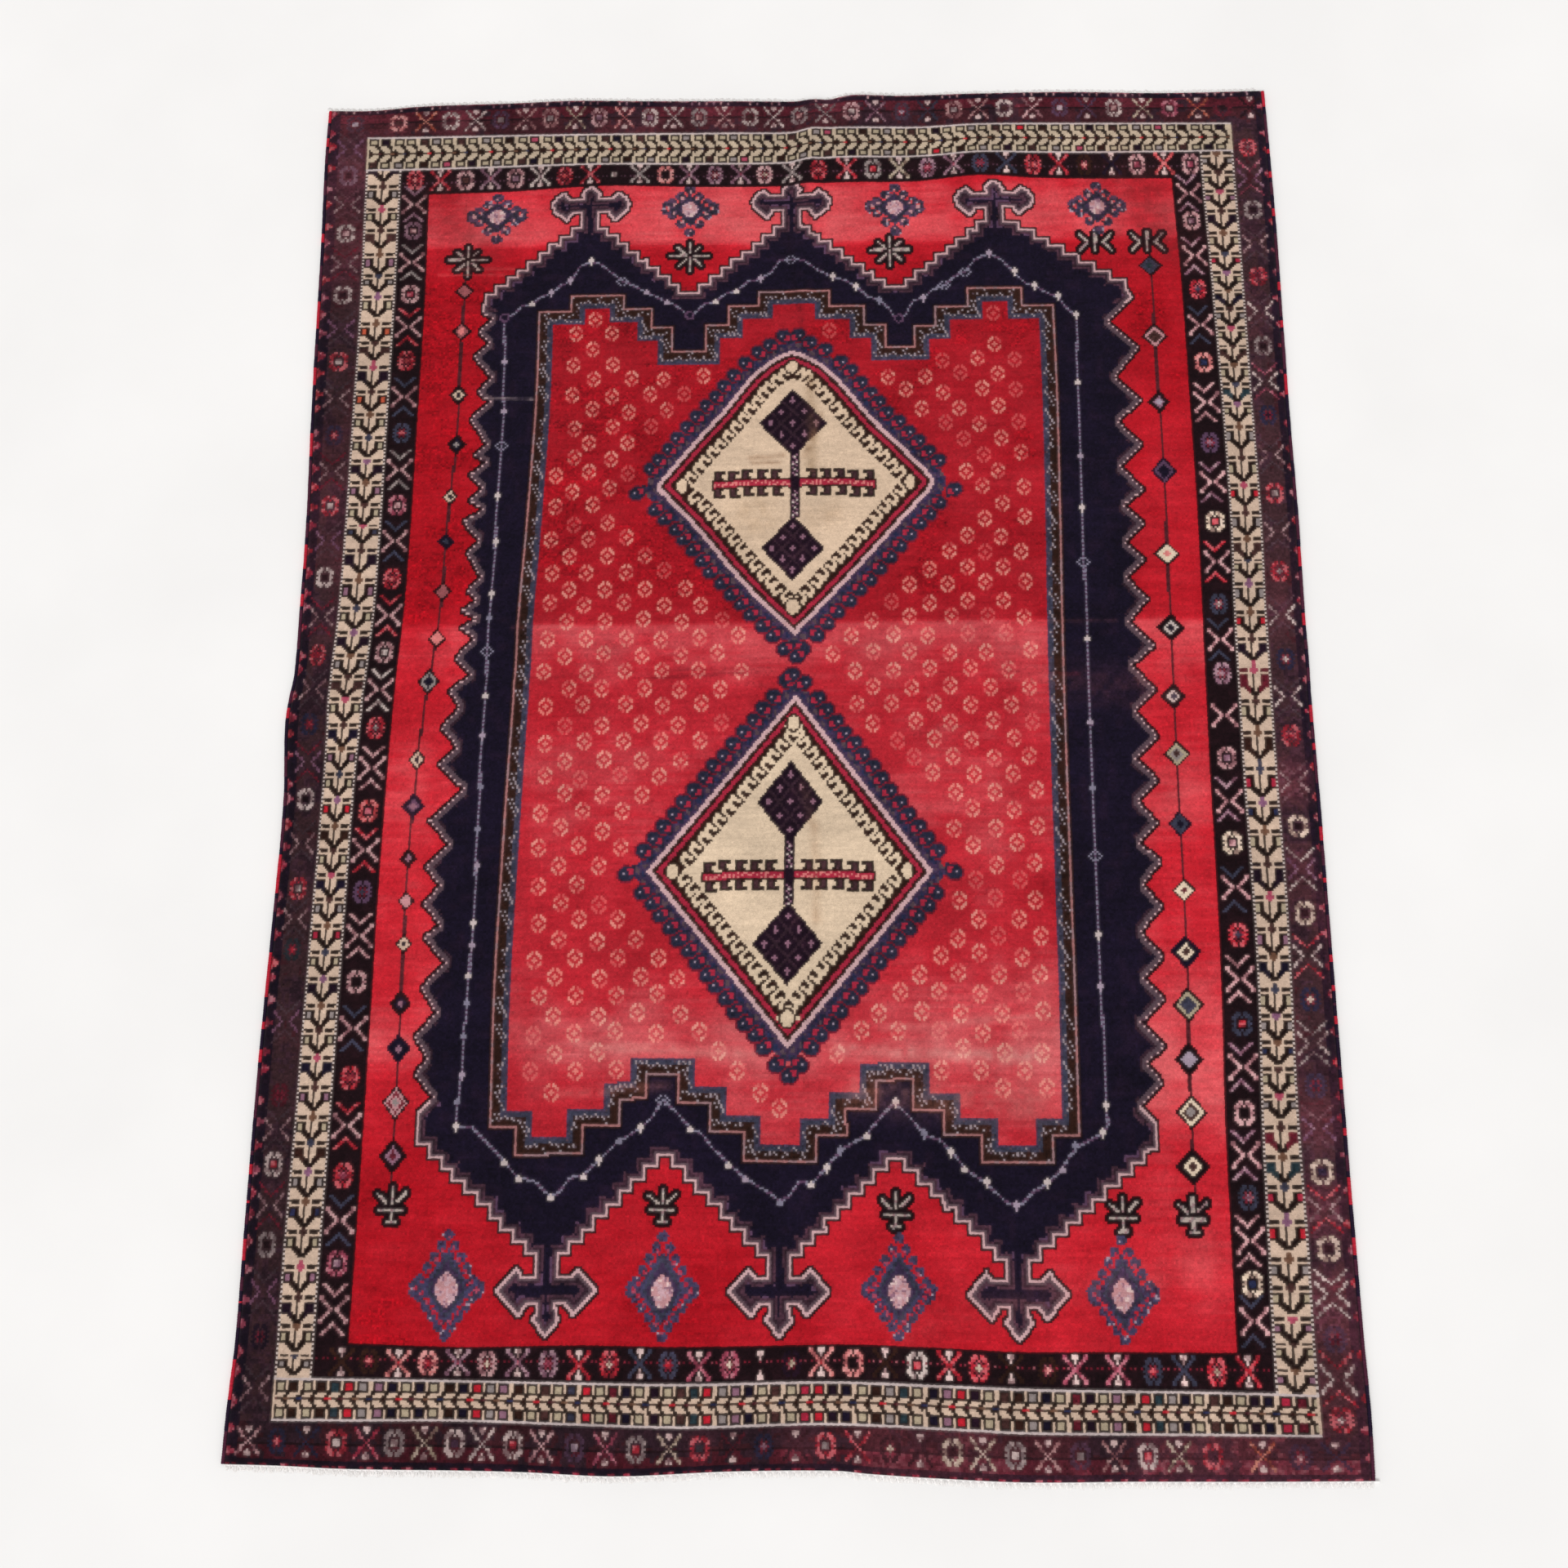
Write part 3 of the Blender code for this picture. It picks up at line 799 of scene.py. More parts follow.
# Motifs of the cross borders: R a rosette, F a full one, X a cross, then its ink and the ink of its eye; the
# row's y; the places of some motifs, by number and x, between which the others are evenly spaced; whether they
# are bold.
CROSS_BORDERS = (
    ("""Xr Rph Xm Rpm Xw Fro Xr Rzw Xg Rsz Xm Fmp Xm Fpc Xg Fro Xr Rgr Xe Fmq Xm Fyq Xy Fro Xr FUs Xn Rpq Xo Rpq""",
     895, groups("0,-566 13,-42 19,218 28,596 29,637"), True),
    ("""XU FUo Xs Fsr Xm Fpc Xm Fmq Xr Fri Xy Fyr Xq Fqc Xz FAe Xs Rsz XU Rwr Xr Fre XU FUs Xq Xq Fyr Xy Fre Xr""",
     -914, groups("0,-611 1,-573 2,-535 15,-8 22,286 23,334 24,372 25,428 26,474 29,598"),
     True),
    ("""Ryl Rsh XR Rwz Xw Rug XC RCg Xe Rpm Xs Rwm Xw RgC XC Rwh Xw RgC Xg Rpw Xm Fyl Xy RCg XC Rwh Xp Rul Xu RwC Xe
Rqw XR Rdz Xz""",
     1000, groups("0,-712 1,-640 2,-595 16,-27 25,345 32,655 34,740"), False),
    ("""Xp Fbr Xb Rrw Xk Rgw Xe Rwu Xw Rwr Xp Rul Xq Rgr Xe Rrt Xd Fbm Xz Rrg Xr Fzc Xz Rcz Xc Rgw XC Rug XC Rwr Xe
Rrn XR Fbp Xb""",
     -1018, groups("0,-730 10,-337 18,-2 25,287 31,546 32,612 33,660 34,706"), False),
)
EYES = {"mauve": "rose", "bone": "mauve", "pink": "rose", "salmon": "red"}     # middle of a cross, by its ink
# Motifs of the side borders from the top down: height, a rosette and its inks, ink of the chevrons below it.
# Then the height where the last chevrons end, the column, and whether it is the thin outer border.
SIDE_BORDERS = (
    ("""895:Fro:m 803:Rmp:g 687:Rpk:r 572:Fro:y 448:Fyr:g 329:Rqp:y 210:Fro:r 92:Rpw:w -25:Frg:p -150:Rok:r
-272:Fuy:p -400:Rpz:y -536:Fro:r -668:Frq:y -785:Rqm:p""", -903, -202.5, False),
    ("""900:Nps:m 798:Rpm:m 677:Fry:y 552:Rsb:p 416:Fum:m 288:Rcr:r 155:Fyw:y 45:Fmm:z -82:Rpm:m -209:Rcp:y
-340:Fry:p -465:Ryr:m -588:Rpz:m -700:Fym:p -815:Rcb:y""", -905, 211, False),
    ("""1004:Nmy:D 903:Rmz:D 800:Rwp:x 688:Rwz:D 572:Rrw:D 445:Fbr:x 329:Rrw:D 212:Rwz:x 87:Frr:D -20:Fbr:x
-132:Rwz:D -264:Rrw:D -355:Ftr:D -560:Fdd:D -653:Rwr:x -760:Rgz:D -880:Fnn:D""", -1010, -236, True),
    ("""930:Frp:q 815:Rgz:D 698:Frd:D 577:Rgz:q 460:Fbn:D 332:Rrw:D 205:Frg:D 68:Fbw:D -50:Frr:D -185:Rcz:w
-310:Rcz:r -433:Fbc:g -553:Fjb:D -668:Rcb:r -768:Rcz:w -883:Fjn:r -985:Frw:x""", -985, 242.5, True),
)
# one repeat of the ivory cross bands' squares, then the inks of the squares
SQUARES_NARROW = "...... kkkkk. kfffk. kfffk. kkkkk. ...kkk ....kk k....k kk...k".split()
SQUARES_BROAD = "...... kkkkk. kfffk. kfffk. kfffk. kkkkkk ....kk k....k kk...k".split()
FILLS_TOP = "eAeehgehegeUeqeAegehneheAegeUegeeAehegqeeUegeheAeegehereUegeAehegeqeUeeAegeh"
FILLS_BOTTOM = "eUeUtrgmneneUnrgmUeheyredneAehtrgmnehekrAneUgtenmrAehUgnedAemUrtgnehUeAnkdee"
NODES = ("maroon", "husk", "blue", "umber", "red")
# one repeat of the ivory side bands from the edge to the stem, whose ink is s and n its bud
LEAF = ("........n .kkkkk.nn ..kkkk.nn ........n kkkkkk..s kkffkk..s kkffkk..s kkffkk..s kkkkkkk.s ....kkkks"
        " .....kkks ......kkk .......kk").split()
EDGE_TEETH = ((6, 11, 0, 4.6, 3.4), (10, 14, COLUMNS, 3.0, 2.6))     # first row, pitch, column, depth, height
BUDS = ("husk", "bark", "rose", "bark", "husk", "slate", "thistle")
SOLID = ("umber", "aubergine", "navy", "black", "teal", "garnet", "bark")    # these fill a square's frame too
# height of each pair of leaves, and the ink of their squares
LEFT_LEAVES = """
925A 870g 830e 790h 750m 705g 672e 626R 585h 552A 505R 465e 425e 385A 350m 312e 275y 245A 197m 147e 108A 70g
35h 0e -35n -75m -112e -150r -190U -228e -265n -300g -335k -372e -410A -448g -485e -522n -560m -600e -640U
-680g -720b -760e -800m -842A -885e -922g
"""
RIGHT_LEAVES = """
900g 865e 832m 800A 760e 720k 688e 655n 625g 592e 560h 530e 495t 462e 430g 385e 330r 290g 243h 205e 175g
130r 88A 45d -10e -55U -105k -163b -205e -250A -300e -345m -390n -430e -475g -512b -547e -585g -620d -663t
-702k -743r -793g -835e -876m -912e -948m
"""


def row_of_motifs(order, y, places, bold):
    level = at(0, y)[1]
    known, known_x = zip(*places)
    for k, word in enumerate(order.split()):
        x = float(np.interp(k, known, known_x))
        c, r = at(x, float(lay([at(x, y)[0]], [level])[1][0]))
        ink, eye = LETTERS[word[1]], LETTERS.get(word[-1])
        if word[0] == "X":
            stamp(CROSS if bold else CROSS_THIN, c, r, {"x": ink, "w": "shell", "y": EYES.get(ink, ink)})
        else:
            stamp(ROSETTE if word[0] == "R" else ROSETTE_FULL, c, r, {"p": ink, "c": eye, "r": "wine"})


def column_of_motifs(order, ending, column, thin):
    """Each rosette has a V, a pair of angles and a V upside down below it."""
    column -= FIRST_COLUMN
    x = float(lay([column], [ROWS / 2])[0][0])
    words = [word.split(":") for word in order.split()]
    heights = [int(word[0]) for word in words]
    for k, ((_, motif, chevron), here, below) in enumerate(zip(words, heights, [*heights[1:], ending])):
        if motif[0] != "N":
            inks = {"p": LETTERS[motif[1]], "c": LETTERS[motif[2]], "r": "wine"}
            stamp(ROSETTE if motif[0] == "R" else ROSETTE_FULL, column, at(x, here)[1], inks)
        if below == here:
            continue
        middle = at(x, (here + below) / 2)[1]
        thin_ink = "bone" if column > COLUMNS / 2 and k % 4 > 1 else "thistle" if k % 3 == 0 else "haze"
        stamp(ANGLES_THIN if thin else ANGLES, column, middle, {"x": thin_ink if thin else "pink"})
        for side in ((7, -7) if thin else (8, -8)):
            stamp(VEE_THIN if thin else VEE, column, middle + side, {"x": LETTERS[chevron]}, upside=side < 0)


def ivory_row(bottom, top, squares, fills, shift, lean, pitch, ground):
    """An ivory band across the rug: two rows of framed squares on either side of a leafy rib."""
    first, last = WARPS[0] - FIRST_COLUMN, WARPS[-1] - FIRST_COLUMN
    bottom, top = bottom - FIRST_ROW, top - FIRST_ROW - 1
    middle = (bottom + top + 1) // 2
    paint(box(first, last, bottom, top + 1), ground)

    def dot(i, row, ink, aside=0):
        column = aside + int(round(left + i if lean > 0 else left + pitch - 2 - i))
        if first < column < last - 1:
            cartoon[row, column] = NUMBER[ink]

    for k in range(-1, int((last - first) / pitch) + 1):
        left = first + 1.0 + k * pitch
        for half in (0, 1):
            fill = LETTERS[fills[(k + half * shift) % len(fills)]]
            for (j, i) in np.ndindex(len(squares), len(squares[0])):
                mark = squares[j][i]
                filled = mark == "f" or (mark == "k" and fill in SOLID and 1 < j < 6 and 0 < i < 4)
                if mark != ".":
                    dot(i, bottom + j if half else top - j, fill if filled else "soot")
        for i in range(int(pitch)):
            dot(i, middle, "umber")
        for row, aside, ink in ((-1, 0, "umber"), (0, -1, None), (0, 0, None), (0, 1, None), (1, 0, "umber")):
            dot(5.5, middle + row, ink or NODES[k % 5], aside)
    cartoon[[bottom, top], first:last] = NUMBER["pearl"]


def ivory_column(first, last, leaves):
    """An ivory band along the rug: pairs of leaves and squares on a stem."""
    first, last = first - FIRST_COLUMN, last - FIRST_COLUMN - 1
    bottom, top = WEFTS[-2] - FIRST_ROW, WEFTS[1] - FIRST_ROW
    half = (last + 1 - first) // 2
    paint(box(first, last + 1, bottom, top), "ivory")
    x = float(lay([first + half], [ROWS / 2])[0][0])
    words = leaves.split()
    heights = [at(x, int(word[:-1]))[1] for word in words]
    for k, (word, here, following) in enumerate(zip(words, heights, [*heights[1:], bottom])):
        fill, rows = LETTERS[word[-1]], list(LEAF)
        extra = int(round(here - following)) - len(rows)
        for step in range(max(extra, min(-extra, 4))):      # stretched or shortened to reach the next pair
            spot = 6 * (step % 2)
            if extra > 0:
                rows.insert(spot, rows[spot])
            else:
                rows.pop(spot)
        for j, i in np.ndindex(len(rows), half):
            row, mark = int(round(here + 6)) - j, rows[j][i if half > 8 else i + 1]
            if mark == "." or not bottom <= row < top:
                continue
            filled = mark == "f" or (mark == "k" and fill in SOLID and i < 6 and j > 3)
            ink = NUMBER[fill if filled else BUDS[k % 7] if mark == "n" else "soot"]
            cartoon[row, first + i] = ink
            if mark != "s":
                cartoon[row, last - i] = ink
    edge = np.arange(bottom, top)
    for column in (first, last):
        cartoon[edge, column] = np.where(edge % 2 == 0, NUMBER["umber"], NUMBER["bone"])


def paint_outer_ground(rng):
    """The outer border's ground of brown and violet wool, and the dark guard with red teeth at its edge."""
    outer = ~IVORY
    ends = (GRID_R < WEFTS[-1] - FIRST_ROW) | (GRID_R > WEFTS[0] - FIRST_ROW)
    worn = knot_noise(2.6, 41) * 0.8 + 0.9 * knot_noise(16.0, 42)
    lines = at(0, 1000)[1], at(0, -1019)[1]
    redder = (GRID_R > lines[0]) | (GRID_R < lines[1])
    lined = (np.abs(GRID_R - lines[0]) < 0.6) | (np.abs(GRID_R - lines[1]) < 0.6)
    edge = (GRID_C < 5) | (GRID_C > COLUMNS - 4) | (GRID_R < 3) | (GRID_R > ROWS - 4)
    paint(outer, "cocoa")
    paint(outer & (worn < -0.15), "plum")
    paint(outer & (worn < -0.45), "fig")
    paint((outer & (worn > 0.95)) | ends, "maroon")
    paint(ends & (worn < -0.2), "fig")
    paint(ends & redder & (worn > -0.35), "garnet")
    paint(ends & lined, "black")
    paint(edge, "navy")

    def pick(*inks):
        return NUMBER[inks[int(rng.integers(0, len(inks)))]]

    for first_row, pitch, side, deep, tall in EDGE_TEETH:
        for r in range(first_row, ROWS, pitch):
            slope = 1 - np.abs(GRID_C - side) / (deep * rng.uniform(0.7, 1.1))
            slope = slope * tall * rng.uniform(0.7, 1.1)
            tooth = np.abs(GRID_R - r - rng.integers(-2, 3)) < slope
            cartoon[tooth] = pick("crimson", "red", "crimson", "rose")
    for c in range(0, COLUMNS, 2):
        if rng.random() < 0.8:
            cartoon[ROWS - 1, c:c + 2] = pick("rose", "mauve", "crimson", "pink")
    for c in range(3, COLUMNS, 4):
        if rng.random() < 0.5:
            cartoon[ROWS - 3:ROWS - 1, c] = pick("mauve", "pink")
    for c in range(9, COLUMNS, 9):
        middle = c + int(rng.integers(-2, 3))
        cartoon[0, middle - 1:middle + 2] = NUMBER["crimson"]
    for c in range(0, COLUMNS, 3):
        if rng.random() < 0.25:
            cartoon[0, c:c + 2] = NUMBER["wine"]


def paint_borders(rng):
    paint(INNER & ~FIELD, "black")
    paint_outer_ground(rng)
    ivory_row(WEFTS[1], WEFTS[0], SQUARES_NARROW, FILLS_TOP, 7, 1, 6.4, "bisque")
    ivory_row(WEFTS[-1], WEFTS[-2], SQUARES_BROAD, FILLS_BOTTOM, 0, -1, 6.2, "ivory")
    for row, ink in ((WEFTS[2] + 6.5, "plum"), (WEFTS[-3] - 6.5, "wine")):
        paint((np.abs(GRID_R + FIRST_ROW - row) < 0.6) & INNER & (grain(7, 1, 5) < 2), ink)
    ivory_column(WARPS[0], WARPS[1], LEFT_LEAVES)
    ivory_column(WARPS[-2], WARPS[-1], RIGHT_LEAVES)
    for border in CROSS_BORDERS:
        row_of_motifs(*border)
    for border in SIDE_BORDERS:
        column_of_motifs(*border)


def draw():
    """Paint the whole cartoon; gives the pile's parts, each of them whole stretches of the pattern."""
    rng = np.random.default_rng(11)
    cartoon[:] = NUMBER["field"]
    frame_part = paint_frame()
    panel, panel_field = paint_panel()
    taken = np.any([paint_medallion(m) for m in MEDALLIONS], 0)
    for m in MEDALLIONS:
        paint_medallion_inside(m)
    paint_small_rosettes(panel_field, taken, rng)
    paint_chain(rng)
    paint_diamonds()
    paint_stars()
    for *kind, places in PENDANTS:
        for x, y in places:
            paint_pendant(x, y, *kind)
    paint_borders(rng)
    frame_part, panel = grow(frame_part, 1) & FIELD, grow(panel, 1)
    medallions, upper = grow(taken, 1) & panel, GRID_R + FIRST_ROW > 18
    return {
        "pile_outer_border": ~IVORY, "pile_ivory_border": IVORY & ~INNER, "pile_inner_border": INNER & ~FIELD,
        "pile_field": FIELD & ~frame_part, "pile_frame": frame_part & ~panel,
        "pile_panel": panel & ~medallions,
        "pile_medallion_upper": medallions & upper, "pile_medallion_lower": medallions & ~upper,
    }


# ---------------------------------------------------------------- tones
# the red's bands across the rug, partly the wool's own and partly painted light and shade where the pile leans: y,
# and the share of coral at the left edge, the middle and the right edge
TONE_ROWS = numbers("""
890 0.3 0.6 0.3
865 0.55 0.85 0.5
790 0.75 0.85 0.75
772 0.65 0.65 0.6
764 0.28 0.3 0.3
722 0.18 0.2 0.2
700 0.05 0.08 0.12
560 0.05 0.12 0.1
400 0.06 0.06 0.25
300 0.14 0.06 0.3
138 0.18 0.14 0.25
126 0.58 0.66 0.72
60 0.52 0.6 0.62
15 0.3 0.42 0.45
-40 0.45 0.45 0.5
-140 0.6 0.55 0.66
-220 0.5 0.5 0.6
-265 0.46 0.4 0.42
-350 0.44 0.45 0.55
-430 0.6 0.65 0.72
-500 0.72 0.85 0.92
-535 0.45 0.7 0.92
-600 0.3 0.6 0.74
-660 0.1 0.4 0.5
-740 0.15 0.34 0.56
-800 0.1 0.27 0.62
-890 0.1 0.27 0.42
""")
DARK_RED, RED, CORAL = np.array((162, 15, 27.0)), np.array((196, 36, 48.0)), np.array((220, 94, 98.0))
WORN_INKS = (("rosette", (226, 172, 150), 0.58), ("rosette_eye", (230, 184, 162), 0.68),
             ("rosette_faint", (222, 162, 146), 0.36))       # how far each is from the red to its own colour
# worn, stained and paler places, painted shade along the creases at y 50 and along the middle fold near the top, a
# lighter line along the fold at y 130, and darker patches at the field's two top corners: ends of a line, its reach
# to each side, what share of the way to which colour
WEAR_AND_CREASE_SHADE = numbers("""
30 380 30 530 9 0.3 120 90 60
18 400 44 470 5 0.35 130 96 70
-65 400 -15 404 4 0.45 120 84 60
-62 391 -20 392 3 0.4 120 84 60
-60 305 -56 306 34 0.22 150 118 84
36 300 60 306 20 0.18 160 124 90
30 -180 32 -320 7 0.28 150 110 80
14 -120 24 -170 8 0.22 150 110 80
-215 46 -50 54 3 0.45 120 20 30
-200 58 -120 60 2 0.3 120 20 30
320 52 420 48 3 0.25 120 20 30
-560 722 -430 719 2 0.35 222 120 110
-545 731 -440 731 2 0.3 222 120 110
-480 506 -402 504 2 0.75 150 130 130
-300 -492 -60 -505 8 0.35 226 150 140
60 -500 330 -512 12 0.45 228 160 150
120 -470 330 -455 6 0.3 226 150 140
-330 -560 -180 -548 8 0.25 226 140 130
-20 860 26 560 5 0.18 20 10 14
20 880 34 780 5 0.2 20 10 14
-420 128 480 130 3 0.14 236 130 124
150 -870 560 -780 26 0.12 230 130 124
380 40 560 20 30 0.12 230 120 116
90 -560 330 -575 26 0.3 214 140 128
-560 850 -500 760 46 0.26 96 40 40
540 870 600 760 50 0.34 96 40 40
-560 -60 -540 -420 26 0.1 226 110 106
""")
GROUND_TONE = 95            # the borders' dark grounds are darker than this, their figures lighter


def red_ground(x, y):
    """The red of each knot, in bands across the rug (partly the wool's own, partly painted light and shade where the
    pile leans), with clouds and single wefts.
    """
    across = np.clip((x + 560) / 565, 0, 2)
    left, middle, right = (smooth(TONE_ROWS, k, y) for k in (1, 2, 3))
    bands = np.where(across < 1, left + (middle - left) * across, middle + (right - middle) * (across - 1))
    clouds = 0.14 * value_noise(x, y, 70, 61) + 0.08 * value_noise(x, y, 22, 62)
    share = 2 * np.clip(bands + clouds + 0.08 * value_noise(x / 9, y, 5, 63), 0, 1)[..., None]
    return np.where(share < 1, DARK_RED + (RED - DARK_RED) * share, RED + (CORAL - RED) * (share - 1))


def wear_and_crease_shade(picture, x, y):
    for x0, y0, x1, y1, reach, strength, *colour in WEAR_AND_CREASE_SHADE:
        dx, dy = x1 - x0, y1 - y0
        part = np.abs(x - (x0 + x1) / 2) < abs(dx) / 2 + reach * 2
        part &= np.abs(y - (y0 + y1) / 2) < abs(dy) / 2 + reach * 2
        t = np.clip(((x[part] - x0) * dx + (y[part] - y0) * dy) / max(dx ** 2 + dy ** 2, 1), 0, 1)
        aside = np.hypot(x[part] - x0 - t * dx, y[part] - y0 - t * dy) / reach
        mix = strength * np.exp(-aside ** 2) * (0.75 + 0.5 * value_noise(x[part], y[part], 9, 71))
        picture[part] += (colour - picture[part]) * mix[:, None]


def tone_borders(picture, x, y):
    """Dust and rosy patches in the outer border, light and shade, and flecks in both borders' figures."""
    outer, inner = ~IVORY, INNER & ~FIELD
    dust = (np.where(outer, 0.26 + 0.14 * value_noise(x, y, 7, 75), 0))[..., None]
    picture = picture * (1 - dust) + np.array((62, 34, 42)) * dust
    ground = picture.max(-1) < GROUND_TONE
    patches = np.clip(0.08 + 0.4 * value_noise(x, y, 60, 77) + x * (500 - y) / 2500000, 0, 0.42)
    picture += (np.array((132, 62, 74)) - picture) * (patches * outer * ground)[..., None]
    ground = picture.max(-1) < GROUND_TONE
    outer_shade = np.where(ground, 0.82 + x / 11000 + y / 20000, 0.95 + x / 9000)
    inner_shade = np.where(inner & ~ground, 0.94 + x / 6000 - y / 18000, 1)
    picture *= np.where(outer, outer_shade, inner_shade)[..., None]
    fleck = (knot_noise(1.4, 76) * np.clip((picture.max(-1) - 90) / 50, 0, 1) * (outer | inner))[..., None]
    toward = np.where(fleck > 0, np.array((236, 206, 200)) - picture, picture - np.array((60, 28, 34)))
    return picture + toward * np.clip(fleck, -0.5, 0.34)


def colours():
    """sRGB colour of each knot, 0 to 255: the inks, the red's bands with their painted light and shade, the wear and
    stains with painted shade along the creases, the borders' painted light and shade, and the wool's unevenness.
    """
    picture = np.array([colour for _, colour in INKS.values()], float)[cartoon]
    x, y = lay(GRID_C, GRID_R)
    # the red's bands hold painted light and shade where the pile leans
    red, field = red_ground(x, y), cartoon == NUMBER["field"]
    picture[field] = red[field]
    for name, pale, strength in WORN_INKS:
        here = cartoon == NUMBER[name]
        picture[here] = (red * (1 - strength) + np.array(pale) * strength)[here]
    # wear and stains, painted shade along the creases, and darker patches at the field's top corners
    wear_and_crease_shade(picture, x, y)
    panel_red = field & inside(-142, 142, -220, 232)
    picture[panel_red] = picture[panel_red] * (0.935, 1, 1) + (0, 4, 3)
    picture = tone_borders(picture, x, y)
    single = np.random.default_rng(17).normal(0, 1, cartoon.shape)
    bright, dark = np.clip((picture.min(-1) - 60) / 80, 0, 1), picture.mean(-1) < 70
    uneven = (0.046 - 0.022 * bright) * single + 0.05 * value_noise(x, y, 45, 72)
    uneven += 0.035 * value_noise(x / 8, y, 4, 73)
    bloom = dark * np.clip(value_noise(x, y, 14, 74) - 0.1, 0, 1)
    return picture * (1 + uneven * np.where(dark, 2.2, 1))[..., None] + bloom[..., None] * np.array((9, 4, 5))


# ---------------------------------------------------------------- the rug's shape (metres)
PLAN_CENTRE = np.array((0.00135, -0.0104, 0.0))      # middle of the rug's box in the tables' frame
PILE_HEIGHT, RIM_HEIGHT, RIM_WIDTH = 0.0100, 0.0072, 0.0060
UNEVENNESS, SWELL_LENGTH = 0.0007, 0.16
CORD_WIDTH, CORD_HEIGHT, CORD_SIDES, YARN_PITCH = 0.0060, 0.0076, 12, 0.0034
GAP, STRIP_DEPTH, STRIP_HEIGHT = 0.0003, 0.0030, 0.0030
TUFT_PITCH, TUFT_STRANDS, STRAND_STEPS, FAN_SPANS = 0.0096, 9, 5, 6
FRINGE_ENDS = (-0.7615, 0.7620)
BACK_STEP, BACK_THICKNESS, BACK_INSET = 6, 0.0024, 0.0012      # knots across a face of the back, then metres
JITTER_PLAN, JITTER_HEIGHT = 0.00045, 0.00022        # how far a knot's tip strays
MIXING = 0.30               # how far neighbouring knots' colours run together at their corners
LIGHT = 1.05                # light on the floor, so that tones in the photo can be given as they look
# start x, y, end x, y, height, half width
FOLDS = numbers("""
0.040 1.060 0.018 0.840 0.0065 0.034
0.018 0.860 0.014 0.160 0.0024 0.026
0.014 0.120 0.004 -0.460 0.0022 0.026
-0.690 0.128 0.700 0.130 0.0022 0.028
-0.560 0.030 0.030 0.056 0.0030 0.022
-0.752 0.016 -0.600 0.024 0.0035 0.034
""")

rng = np.random.default_rng(5)


def fold_height(x, y):
    total = np.zeros_like(x)
    for x0, y0, x1, y1, height, half_width in FOLDS:
        run = np.array((x1 - x0, y1 - y0))
        share = ((x - x0) * run[0] + (y - y0) * run[1]) / (run @ run)
        aside = np.hypot(x - x0 - share * run[0], y - y0 - share * run[1]) / half_width
        fade = np.clip(6 * np.minimum(share, 1 - share), 0, 1)
        total += height * fade * np.cos(np.clip(aside, 0, 1) * math.pi / 2) ** 2
    return total


def to_linear(srgb):
    share = np.clip(np.asarray(srgb, float) / 255, 0, 1)
    return np.where(share <= 0.04045, share / 12.92, ((share + 0.055) / 1.055) ** 2.4)


def make_piece(name, points, faces, tints, uvs, material):
    """A mesh piece: points in the tables' frame, faces of four, a colour and a map place for each corner."""
    mesh = bpy.data.meshes.new(name)
    mesh.vertices.add(len(points))
    mesh.vertices.foreach_set("co", (np.asarray(points) - PLAN_CENTRE).astype(np.float32).ravel())
    mesh.loops.add(4 * len(faces))
    mesh.loops.foreach_set("vertex_index", np.asarray(faces, np.int32).ravel())
    mesh.polygons.add(len(faces))
    mesh.polygons.foreach_set("loop_start", np.arange(0, 4 * len(faces), 4, dtype=np.int32))
    mesh.polygons.foreach_set("loop_total", np.full(len(faces), 4, np.int32))
    rgba = np.ones((4 * len(faces), 4), np.float32)
    rgba[:, :3] = tints.reshape(-1, 3)
    mesh.color_attributes.new("tint", "FLOAT_COLOR", "CORNER").data.foreach_set("color", rgba.ravel())
    mesh.uv_layers.new(name="OFBake").data.foreach_set("uv", np.asarray(uvs, np.float32).ravel())
    mesh.update(calc_edges=True)
    mesh.validate()
    mesh.materials.append(material)
    piece = bpy.data.objects.new(name, mesh)
    bpy.context.scene.collection.objects.link(piece)
    return piece


def quads(index):
    """Faces between neighbouring entries of a grid of point numbers."""
    return np.stack([index[:-1, :-1], index[:-1, 1:], index[1:, 1:], index[1:, :-1]], -1).reshape(-1, 4)


def rim_of(index):
    """The point numbers round a grid's edge, in order, and each one's follower."""
    ring = np.concatenate([index[0, :-1], index[:-1, -1], index[-1, :0:-1], index[:0:-1, 0]])
    return ring, np.roll(ring, -1)


# ---------------------------------------------------------------- materials
def add_node(tree, kind, inputs=(), **settings):
    node = tree.nodes.new(kind)
    for name, value in settings.items():
        setattr(node, name, value)
    for name, value in dict(inputs).items():
        if hasattr(value, "is_output"):
            tree.links.new(value, node.inputs[name])
        else:
            node.inputs[name].default_value = value
    return node


def add_noise(tree, scale, detail, stretch=(1, 1, 1)):
    place = add_node(tree, "ShaderNodeTexCoord").outputs["Object"]
    mapped = add_node(tree, "ShaderNodeMapping", {"Vector": place, "Scale": stretch}).outputs["Vector"]
    noise = add_node(tree, "ShaderNodeTexNoise", {"Vector": mapped, "Scale": scale, "Detail": detail})
    return noise.outputs[0]


def new_material(name, **settings):
    """A material, its node tree and its shader, with the shader's sockets set."""
    material = bpy.data.materials.new(name)
    material.use_nodes = True
    shader = material.node_tree.nodes["Principled BSDF"]
    for socket, value in settings.items():
        shader.inputs[socket.replace("_", " ")].default_value = value
    return material, material.node_tree, shader


